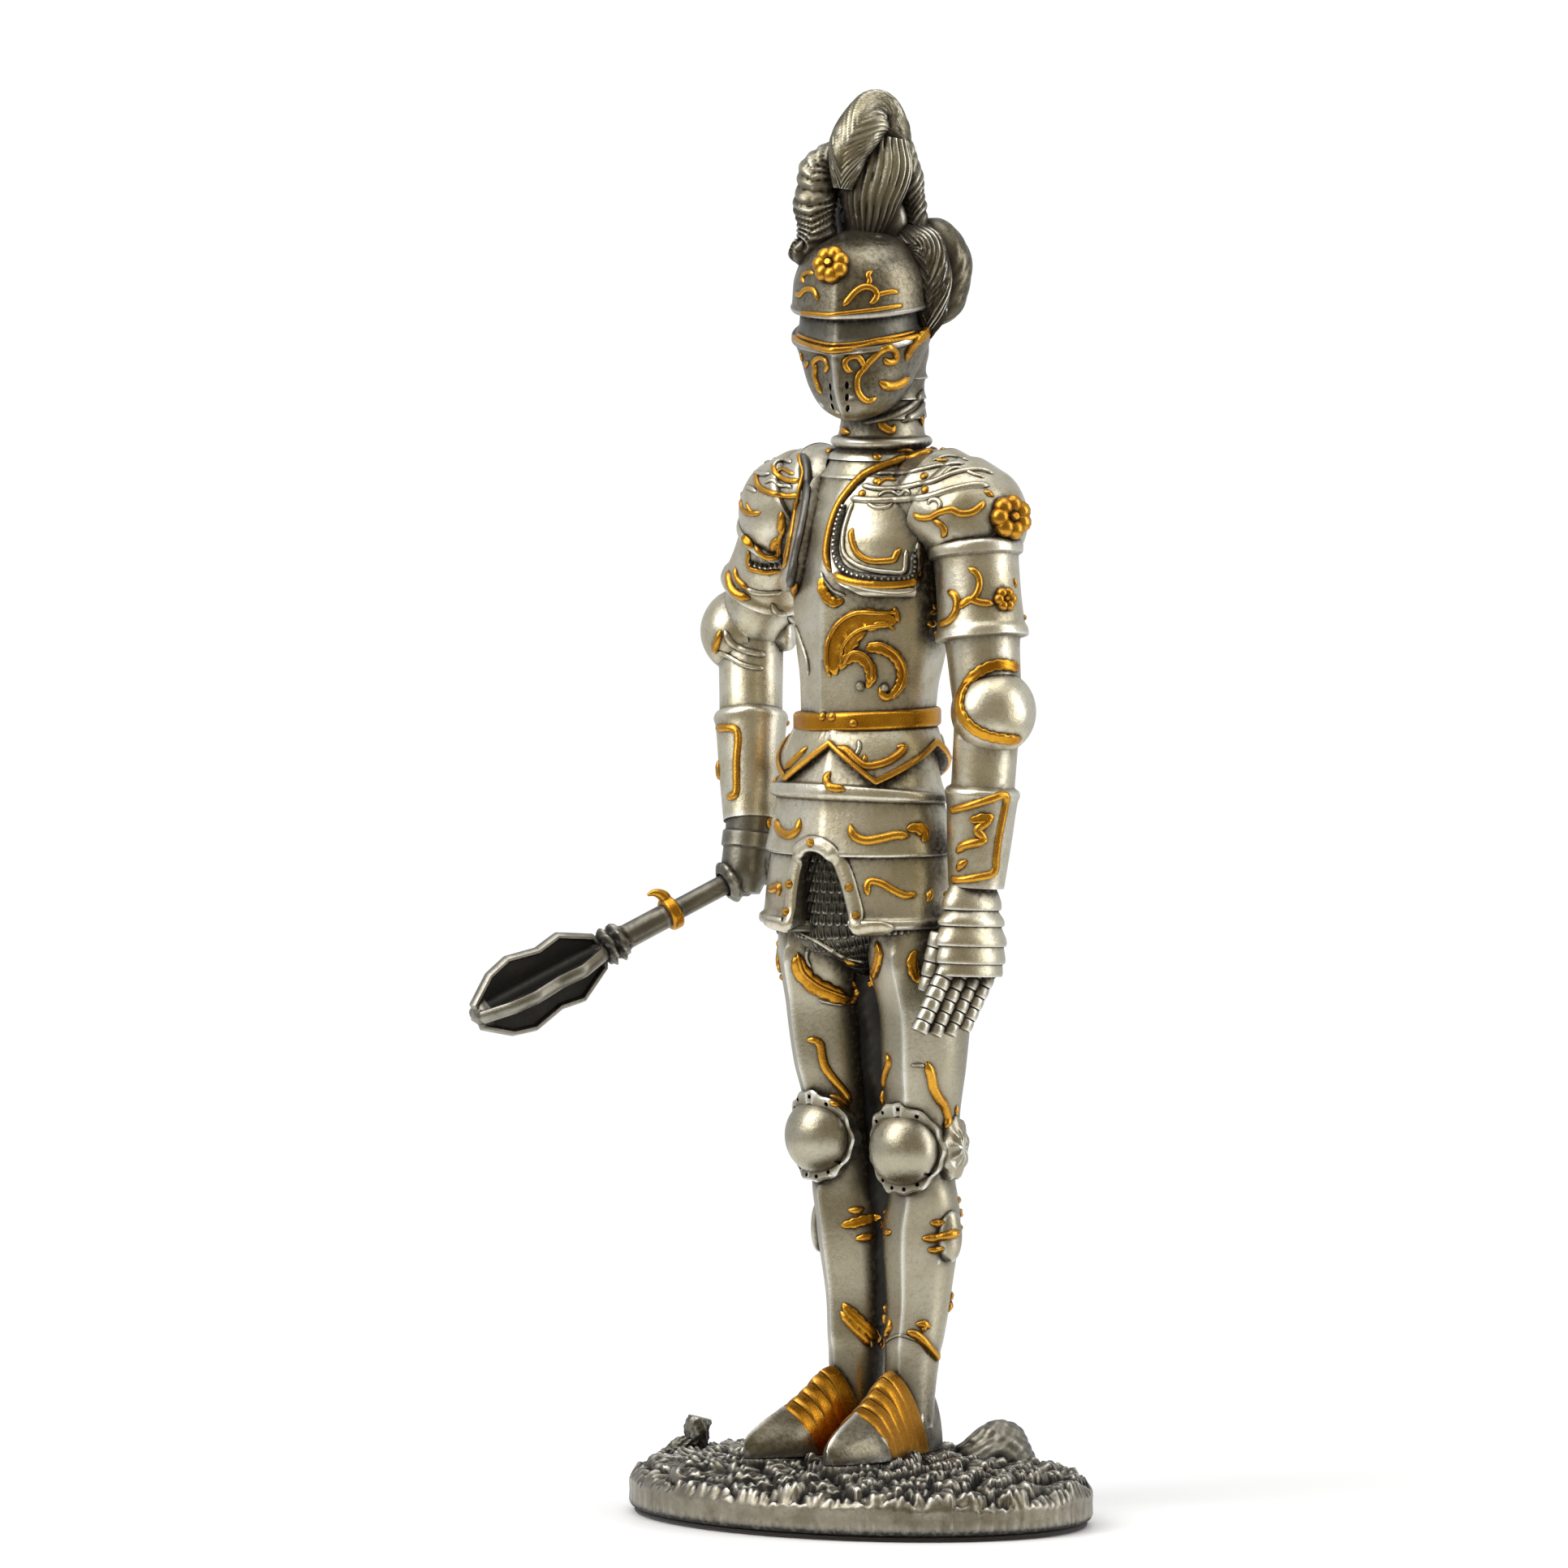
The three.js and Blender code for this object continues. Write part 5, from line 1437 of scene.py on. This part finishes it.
LEGS_STROKES = [
    (2.2, [(-7.8, 71.4), (-7.5, 69.7), (-6.5, 68.1), (-4.6, 66.9), (-2.7, 66), (-1.3, 65.2)]),
    (1, [(-8.2, 71.1), (-8.1, 69.3), (-7.1, 67.7)]),
    (0.65, [(-6.5, 72.2), (-6.8, 70.9), (-6.2, 69.5)], BARE),
    (0.9, [(-7, 67.3), (-5.3, 66.4), (-3.2, 65.9)]),
    (0.65, [(-5.3, 65.6), (-3.7, 65.2), (-1.8, 64.9)], BARE),
    (1.1, [(-1, 68), (-0.4, 66.9), (-0.7, 65.7), (-1.3, 65.2)]),
    (1.2, [(-6.2, 60.6), (-5.1, 60.1), (-4.8, 58.5), (-4.4, 57.1), (-3.2, 55.4), (-2, 54), (-1.1, 52.6)]),
    (1.1, [(-3.9, 53.6), (-2.7, 53), (-1.3, 52)]),
    (0.9, [(-4, 52.7), (-2.5, 52.3), (-1.3, 51.7)]),
    (1, [(-6.8, 60.5), (-5.8, 60.5), (-4.6, 59.9)]),
    (1.4, [(1.9, 73), (2.4, 71.6), (2.2, 70.2), (1.6, 68.5), (1.1, 67.1)]),
    (1.1, [(3.2, 58.9), (3.6, 57.8), (3.1, 56.1), (2.9, 54), (2.8, 52.2)]),
    (1.4, [(7.1, 71.9), (6.5, 70.7), (6.7, 69), (7.6, 67.1), (8, 66.4)]),
    (1.3, [(8.3, 57.8), (8.9, 56.1), (9.2, 54.5), (9.9, 53.1), (10.6, 52.2), (11, 50.5), (10.6, 49.4)]),
    (0.55, [(6.3, 57.3), (7.3, 57.4), (8.2, 57.2)], BARE),
    (0.9, [(12.1, 52.4), (12, 51)]),
    (1.3, [(-10.2, 72.1), (-10.4, 70.2), (-10, 68.3)]),
    (1.1, [(-1.6, 39.2), (-0.5, 39.1), (0.6, 39.4)]),
    (1.4, [(-2.5, 37.2), (-0.8, 37.5), (0.9, 38), (2.7, 38.3)]),
    (1.2, [(-0.7, 35.5), (0.5, 35.7), (2, 35.9)]),
    (1.2, [(8.7, 37.6), (9.8, 37.5), (10.6, 37.7)]),
    (1.2, [(7.7, 35.6), (9.1, 35.6), (10.7, 35.9), (13.1, 36.5)]),
    (1.1, [(8.4, 34.2), (9.4, 34.1), (10.6, 34.4)]),
    (1.2, [(12.4, 40.1), (13, 39), (13.1, 37), (13.2, 35.2), (12.7, 33.9)]),
    (0.9, [(2.6, 36.5), (3.1, 36.3), (4, 36.4)]),
    (1.5, [(-2.2, 27.5), (-1.7, 26.8), (-0.6, 25.7), (0.7, 24.4), (2.5, 22.6)]),
    (1.3, [(-2.5, 26.5), (-1.1, 24.8), (0.5, 23.1), (1.4, 21.9)]),
    (1.1, [(2.5, 21.7), (2.9, 23), (3.7, 23.9)]),
    (1.1, [(3.7, 25.5), (3.7, 24.4), (3.1, 23.5)]),
    (1.3, [(5.8, 23.9), (6.9, 23.5), (8, 22.6), (9.1, 21.3), (9.9, 20.4)]),
    (1.2, [(6.9, 24.8), (8, 24.8), (8.9, 24.4)]),
    (1.1, [(8.1, 25), (7.8, 23.7)]),
    (0.45, [(2.5, 21.6), (3.6, 22.9), (4.9, 23.4), (6.2, 23.1), (7.6, 22.4), (8.7, 20.9)], BARE),
]
# Ribs and curls on top of the leaves
VEINS = [
    (0.7, [(4.6, 114.3), (2.2, 114.2), (-0.6, 114.2), (-2.8, 112.9), (-4.1, 110.6), (-4.3, 108.2),
        (-3.8, 106)]),
    (0.55, [(3.6, 112.6), (1, 112.4), (-0.9, 111.6), (-2.2, 110), (-2.5, 108)]),
    (0.55, [(4.4, 112), (3, 112.9), (1.6, 112.8)]),
    (0.55, [(-2.2, 107.6), (-1.2, 109.2), (0.4, 109), (1.4, 107.6), (1.4, 105.6)]),
    (0.55, [(0.7, 110.2), (2.6, 110.3), (4.6, 109), (5.6, 107), (5.2, 104.8), (4, 103.4)]),
    (0.55, [(-7.9, 71.6), (-7.3, 69.2), (-5.6, 67.6), (-3.6, 66.6), (-1.4, 65.8)]),
]
BREATH_HOLES = [(-1.7, 142.8), (-1.7, 141.3), (-1.6, 139.9), (-3.8, 142.6), (-3.7, 141.3), (-3.5, 140.1)]
# Lines of small beads along the wings
DENTILS = [[(-2, 127.5), *WING_GROOVE], [(-13.6, 120.5), (-11.8, 120.1), (-9.9, 120.5)]]
# Rivets on the shoulder lames, bosses on the breastplate and studs on the belt
LAME_RIVETS = [(-3.9, 134.6), (2.1, 133.9), (2.1, 130.8), (0.2, 129.2), (8, 131.4), (8.1, 129.7)]
BREAST_BOSSES = [(0, 105), (3, 104.8)]
BELT_STUDS = [(-4.8, 101.2), (-3.6, 101.1), (-0.9, 100.3)]
# Places of the rivets along the points of the arch band
ARCH_RIVETS = (3, 6, 18, 30, 33)
# Blossoms as (aside, height, radius, petals)
ROSETTES = [(-3.5, 157.8, 2.5, 7), (18.6, 126.2, 2.9, 7), (18.1, 115.9, 1.6, 6)]


def pooled(shells):
    """The points and the faces of several shells, each as one list."""
    points, faces = [], []
    for shell in shells:
        faces += [[i + len(points) for i in f] for f in shell.faces]
        points += shell.points.tolist()
    return points, faces


def surface_of(shells):
    return BVHTree.FromPolygons(*pooled(shells))


def breath_cuts(surface):
    """Cutters for the upright breath slots, on both sides of the keel."""
    cuts = []
    for place, normal in (seen(surface, x, z) for x, z in BREATH_HOLES):
        way = unit(normal + view_axes(VIEW_AZIMUTH)[2])
        slot = along(place - way * 0.6, way, [[0, 0.28, 0.5], [2, 0.28, 0.5]])
        # The cutters' near-black finish goes onto the walls of the slots, as painted shade in them.
        cuts.append(sweep(slot, around=12, step=2, front=UP, finish=DARK))
    return cuts


def on_skirt(surface, place):
    """The point of the skirt straight behind a place in front of it, and which way it faces there."""
    point, normal, *_ = surface.ray_cast(Vector(place), Vector(-facing(HIP_TURN)))
    return (np.array(point), np.array(normal)) if point else None


def relief(body):
    """The gilt and pewter scrolls, borders, rivets and rosettes laid over the armour."""
    surface = surface_of(body)
    shells = drawn(surface, HELMET_STROKES + SHOULDERS_STROKES + CHEST_STROKES)
    shells += drawn(surface, ARMS_STROKES + SKIRT_STROKES + LEGS_STROKES)
    shells += drawn(surface_of(body + shells), VEINS)
    for azimuth, mirror in ((218, -1), (308, 1), (128, -1)):
        shells += drawn(surface, SKIRT_STROKES + LEGS_STROKES + ARMS_STROKES, azimuth, mirror)
    shells += drawn(surface, SHOULDERS_STROKES + CHEST_STROKES, 218, -1)
    hits = [seen(surface, x, z) for line in DENTILS for x, z in smooth_line(line, 0.78)]
    shells += [bead(*hit, 0.3, 0.75, BARE, 6) for hit in hits if hit is not None]
    shells += studded(surface, LAME_RIVETS, 0.55)
    shells += studded(surface, BREAST_BOSSES, 0.62, BARE, 0.9)
    shells += studded(surface, BELT_STUDS, 0.6, GILT, 0.45)
    back = view_axes(VIEW_AZIMUTH)[2]
    for x, z, radius, petals in ROSETTES:
        place, normal = seen(surface, x, z)
        shells += rosette(place, normal + 0.5 * back, radius, petals)
    for places, normals in runs([on_skirt(surface, p) for p in smooth_line(arch_band(), 0.5)], 3):
        shells.append(ribbon(places, normals, 2.1, BARE, leaf=False))
    hits = [on_skirt(surface, arch_band()[n]) for n in ARCH_RIVETS]
    shells += [bead(*hit, 0.68, 1.15, GILT) for hit in hits if hit is not None]
    return shells


# Pieces

COLLECTION = bpy.context.scene.collection


def placed(name, data, holder=COLLECTION):
    made = bpy.data.objects.new(name, data)
    holder.objects.link(made)
    return made


def mesh_object(name, shells, looks, holder):
    mesh = bpy.data.meshes.new(name)
    points, faces = pooled(shells)
    mesh.from_pydata(points, [], faces)
    for look in looks:
        mesh.materials.append(look)
    mesh.polygons.foreach_set("material_index", [shell.finish for shell in shells for _ in shell.faces])
    return placed(name, mesh, holder)


def joined(name, shells, looks, cuts):
    """The union of closed shells, less the cutters, as one mesh in millimetres."""
    whole = mesh_object(name, shells[:1], looks, COLLECTION)
    holders = []
    for operation, group in (("UNION", shells[1:]), ("DIFFERENCE", cuts)):
        if not group:
            continue
        holder = bpy.data.collections.new(operation)
        COLLECTION.children.link(holder)
        holders.append(holder)
        for shell in group:
            mesh_object(operation, [shell], looks, holder)
        modifier = whole.modifiers.new(operation, "BOOLEAN")
        modifier.operation = operation
        modifier.solver = "MANIFOLD"
        modifier.operand_type = "COLLECTION"
        modifier.collection = holder
    seen_whole = whole.evaluated_get(bpy.context.evaluated_depsgraph_get())
    mesh = bpy.data.meshes.new_from_object(seen_whole)
    for thing in [whole, *(o for h in holders for o in h.objects)]:
        old = thing.data
        bpy.data.objects.remove(thing)
        bpy.data.meshes.remove(old)
    for holder in holders:
        bpy.data.collections.remove(holder)
    return mesh


def piece(name, shells, looks, node=None, cuts=(), crease=40):
    """A piece of the figure, which rides its only body."""
    mesh = joined(name, shells, looks, cuts)
    mesh.name = name
    mesh.transform(Matrix.Scale(MM, 4))
    mesh.shade_smooth()
    mesh.set_sharp_from_angle(angle=radians(crease))
    made = placed(name, mesh)
    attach(made, "root")
    if node:
        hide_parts(node)


def build():
    pairs = [shell for side in (LEFT, RIGHT) for part in (leg, pauldron, arm) for shell in part(side)]
    trunk = [torso(), skirt(), web(), *zigzag(), belt(), wing(LEFT), wing(RIGHT), gorget(), *helmet()]
    hands = [*open_hand(), *fist()]
    body = trunk + pairs + hands
    hanging = mail()
    surface = surface_of(body)
    cuts = [arch_cut(), fist_bore(), *pierced(LEFT), *pierced(RIGHT), *breath_cuts(surface)]
    finishes = [pewter(), gilt(), tarnish_and_shade(), steel()]
    piece("armour", body, finishes, "knight", cuts)
    piece("plume", plume(), [plumage()], crease=60)
    piece("mail", [hanging, fringe()], [mailwork()], crease=60)
    laid = [pewter("relief_pewter", 0.14), gilt("relief_gilt", 0.22), finishes[DARK]]
    piece("relief", relief(body + [hanging]), laid, crease=50)
    piece("flanged_mace", mace(), [finishes[STEEL], *finishes[1:3]], "mace")
    piece("ground", base(), [soil(), finishes[STEEL]], "base", crease=60)
    piece("felt", [felt()], [cloth()], "felt_pad")


# Looks


def node(tree, kind, inputs=None, **settings):
    """A shader node. Its inputs are numbers, colours, or the outputs of other nodes to link."""
    made = tree.nodes.new("ShaderNode" + kind)
    for key, value in settings.items():
        setattr(made, key, value)
    for key, value in (inputs or {}).items():
        socket = made.inputs[key]
        if isinstance(value, bpy.types.NodeSocket):
            tree.links.new(value, socket)
        else:
            socket.default_value = (*value, 1) if socket.type == "RGBA" else value
    return made


def blank(name):
    look = bpy.data.materials.new(name)
    look.use_nodes = True
    look.node_tree.nodes.clear()
    return look, look.node_tree


def fitted(tree, value, low, high, to_low=0.0, to_high=1.0):
    inputs = {"Value": value, "From Min": low, "From Max": high, "To Min": to_low, "To Max": to_high}
    return node(tree, "MapRange", inputs, interpolation_type="SMOOTHSTEP").outputs["Result"]


def speckle(tree, place, scale, detail=4.0, rough=0.55):
    inputs = {"Vector": place, "Scale": scale, "Detail": detail, "Roughness": rough}
    return node(tree, "TexNoise", inputs).outputs["Fac"]


def blended(tree, share, first, second):
    return node(tree, "Mix", {0: share, 6: first, 7: second}, data_type="RGBA").outputs[2]


def arithmetic(tree, operation, first, second):
    return node(tree, "Math", {0: first, 1: second}, operation=operation, use_clamp=True).outputs[0]


def coated(tree, inputs):
    """Gives a material one shader with the given inputs."""
    shader = node(tree, "BsdfPrincipled", inputs)
    tree.links.new(shader.outputs[0], node(tree, "OutputMaterial").inputs[0])


def millimetres(tree):
    place = node(tree, "TexCoord").outputs["Object"]
    return node(tree, "VectorMath", {0: place, 1: (1000, 1000, 1000)}, operation="MULTIPLY").outputs[0]


def antiqued(name, metal, tint, recess, worn_and_highlight, rough, reach=3.0, cover=(0.6, 1.0), hollows=0.5, rub_and_highlight=0.85,
             painted_shade_by_height=()):
    """Metal gone dark where tools and hands don't reach: a patina in the hollows that breaks up into
    blotches, a warmer and a cooler tone drifting over the open metal, and rubbed edges, partly wear and
    partly a painted highlight. Each row of the height bands gives the heights where a darker colour of
    painted shade begins and is full, and that colour."""
    look, tree = blank(name)
    place = millimetres(tree)
    open_sky = node(tree, "AmbientOcclusion", {"Distance": reach * MM}, samples=6).outputs["AO"]
    bend = node(tree, "NewGeometry").outputs["Pointiness"]
    drift = speckle(tree, place, 0.22)
    blotch = speckle(tree, place, 1.6, 6.0, 0.65)
    grain = speckle(tree, place, 7.0, 3.0)
    shaded = fitted(tree, open_sky, cover[0], cover[1], 1.0, 0.0)
    patina = arithmetic(tree, "MULTIPLY", shaded, fitted(tree, blotch, 0.32, 0.68, 0.75, 1.35))
    patina = arithmetic(tree, "ADD", patina, fitted(tree, blotch, 0.5, 0.75, 0.0, 0.28))
    patina = arithmetic(tree, "ADD", patina, fitted(tree, bend, 0.40, 0.49, hollows, 0.0))
    # Rubbed edges: blended towards the worn colour, partly wear and partly a painted highlight.
    edge = fitted(tree, bend, 0.51, 0.58, 0.0, rub_and_highlight)
    open_metal = blended(tree, fitted(tree, drift, 0.35, 0.65), metal, tint)
    height = node(tree, "SeparateXYZ", {0: place}).outputs["Z"]
    # Painted shade by height: over each band the open metal is blended towards a darker colour.
    for none, full, old in painted_shade_by_height:
        ends = (1.0, 0.0) if none > full else (0.0, 1.0)
        shade_share = fitted(tree, height, min(none, full), max(none, full), *ends)
        shade_share = arithmetic(tree, "MULTIPLY", shade_share, fitted(tree, blotch, 0.3, 0.7, 0.95, 0.6))
        open_metal = blended(tree, shade_share, open_metal, old)
    colour = blended(tree, patina, blended(tree, edge, open_metal, worn_and_highlight), recess)
    spread = fitted(tree, grain, 0.3, 0.7, rough - 0.05, rough + 0.07)
    roughness = arithmetic(tree, "ADD", spread, arithmetic(tree, "MULTIPLY", patina, 0.3))
    dull = fitted(tree, patina, 0.2, 1.0, 1.0, 0.35)
    fine = node(tree, "Bump", {"Height": grain, "Strength": 0.22, "Distance": 0.05 * MM}).outputs["Normal"]
    cast = node(tree, "Bump", {"Height": blotch, "Strength": 0.35, "Distance": 0.12 * MM, "Normal": fine})
    normal = cast.outputs["Normal"]
    coated(tree, {"Base Color": colour, "Roughness": roughness, "Metallic": dull, "Normal": normal})
    return look


def pewter(name="pewter", rub_and_highlight=0.85):
    # Painted shade by height: the neck and helmet go dark above 133 mm, fully at 143 mm, the legs darker
    # below 78 mm, fully at 62 mm, and the feet dark below 24 mm, fully at 12 mm.
    painted_shade_by_height = [(133, 143, (0.10, 0.082, 0.05)), (78, 62, (0.32, 0.29, 0.21)), (24, 12, (0.10, 0.085, 0.057))]
    return antiqued(name, (0.66, 0.62, 0.50), (0.54, 0.485, 0.34), (0.026, 0.017, 0.008),
                    (0.92, 0.92, 0.86), 0.30, rub_and_highlight=rub_and_highlight, painted_shade_by_height=painted_shade_by_height)


def plumage():
    # Darker than the pewter, with hollows that reach further: patina, and painted shade in the deep gaps
    # between the locks. Below 173 mm it goes darker still, fully at 162 mm: painted shade on the lower
    # locks.
    return antiqued("plumage", (0.40, 0.37, 0.275), (0.29, 0.255, 0.165), (0.018, 0.012, 0.006),
                    (0.84, 0.83, 0.74), 0.28, reach=5.0, cover=(0.64, 1.0), hollows=0.85,
                    painted_shade_by_height=[(173, 162, (0.07, 0.056, 0.034))])


def gilt(name="gilt", rub_and_highlight=0.35):
    # Painted shade by height: the gilt goes darker below 28 mm, fully at 12 mm, on the plates of the feet.
    return antiqued(name, (0.62, 0.30, 0.024), (0.42, 0.175, 0.011), (0.06, 0.022, 0.003),
                    (0.88, 0.54, 0.12), 0.26, reach=1.2, cover=(0.45, 0.97), rub_and_highlight=rub_and_highlight,
                    painted_shade_by_height=[(28, 12, (0.30, 0.12, 0.008))])


# Near black: tarnish, and painted shade where it lines holes, the wing's groove and the web between the
# legs.
def tarnish_and_shade():
    return antiqued("tarnish_and_shade", (0.045, 0.042, 0.036), (0.030, 0.028, 0.024), (0.006, 0.005, 0.004),
                    (0.20, 0.19, 0.17), 0.36)


def mailwork():
    return antiqued("mailwork", (0.15, 0.135, 0.10), (0.10, 0.09, 0.065), (0.006, 0.005, 0.003),
                    (0.52, 0.50, 0.42), 0.34, reach=1.4, hollows=0.9)


def steel():
    return antiqued("steel", (0.24, 0.225, 0.18), (0.16, 0.15, 0.12), (0.012, 0.010, 0.009),
                    (0.50, 0.48, 0.42), 0.32, rub_and_highlight=0.45)


def soil():
    return antiqued("soil", (0.28, 0.255, 0.20), (0.18, 0.16, 0.115), (0.008, 0.006, 0.004),
                    (0.80, 0.78, 0.72), 0.32, reach=1.9, cover=(0.74, 1.0), hollows=1.0, rub_and_highlight=0.7)


def cloth():
    look, tree = blank("felt")
    place = millimetres(tree)
    fibre = speckle(tree, place, 5.0, 8.0, 0.7)
    colour = blended(tree, fibre, (0.008, 0.006, 0.005), (0.030, 0.023, 0.019))
    matted = node(tree, "Bump", {"Height": fibre, "Strength": 0.8, "Distance": 0.15 * MM}).outputs["Normal"]
    coated(tree, {"Base Color": colour, "Roughness": 0.95, "Normal": matted, "Sheen Weight": 0.3})
    return look


# Studio

# The radius of the table top, and the height that the lamps face, in metres
FLOOR = 0.2
LIT_HEIGHT = 0.09


def floor():
    """A round pale table top, small enough that the metal mirrors the room past its edge."""
    look, tree = blank("floor")
    grain = speckle(tree, millimetres(tree), 0.02, 2.0)
    colour = blended(tree, grain, (0.90, 0.90, 0.90), (0.93, 0.93, 0.93))
    coated(tree, {"Base Color": colour, "Roughness": 0.5})
    mesh = bpy.data.meshes.new("floor")
    edge = oval(FLOOR, FLOOR, 96)
    mesh.from_pydata(edge.tolist(), [], [range(len(edge))])
    mesh.materials.append(look)
    return placed("floor", mesh)


def softbox(name, azimuth, elevation, away, size, watts):
    """A square lamp that faces the figure, at an angle round from the front towards the knight's left."""
    lamp = bpy.data.lights.new(name, "AREA")
    lamp.shape = "RECTANGLE"
    lamp.size, lamp.size_y = size
    lamp.energy = watts
    made = placed(name, lamp)
    turn, lift = radians(azimuth), radians(elevation)
    back = Vector((sin(turn) * cos(lift), -cos(turn) * cos(lift), sin(lift)))
    made.location = back * away + Vector((0, 0, LIT_HEIGHT))
    made.rotation_euler = back.to_track_quat("Z", "Y").to_euler()
    return made


def surroundings():
    """A white room as the camera sees it. In the metal it is bright on all sides but the viewer's, where
    it is a dim warm one."""
    world = bpy.data.worlds.new("room")
    world.use_nodes = True
    tree = world.node_tree
    tree.nodes.clear()
    way = node(tree, "TexCoord").outputs["Generated"]
    back = view_axes(VIEW_AZIMUTH)[2]
    towards = node(tree, "VectorMath", {0: way, 1: tuple(back)}, operation="DOT_PRODUCT").outputs["Value"]
    front = fitted(tree, towards, 0.0, 0.9)
    room = blended(tree, front, (0.68, 0.69, 0.71), (0.35, 0.30, 0.21))
    straight = node(tree, "LightPath").outputs["Is Camera Ray"]
    colour = blended(tree, straight, room, (1.05, 1.05, 1.05))
    sky = node(tree, "Background", {"Color": colour, "Strength": 1.0})
    tree.links.new(sky.outputs[0], node(tree, "OutputWorld").inputs[0])
    bpy.context.scene.world = world


def camera():
    right, up, back = view_axes(VIEW_AZIMUTH)
    lens = bpy.data.cameras.new("camera")
    lens.sensor_width = 36
    lens.lens = 365.4
    lens.clip_end = 100
    made = placed("camera", lens)
    axes = Matrix([right, up, back]).transposed().to_4x4()
    made.matrix_world = Matrix.Translation(viewer(VIEW_AZIMUTH, VIEW_ASIDE) * MM) @ axes
    bpy.context.scene.camera = made


build()
surroundings()
camera()
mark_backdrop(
    floor(),
    softbox("key", -22, 38, 1.0, (0.6, 0.9), 7.0),
    softbox("side", 112, 16, 1.0, (0.35, 1.1), 4.5),
    softbox("top", 38, 86, 1.0, (0.9, 0.9), 5.0),
)
bpy.context.scene.view_settings.view_transform = "Standard"

[[list(corner) for corner in box] for box in (cad_box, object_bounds())]
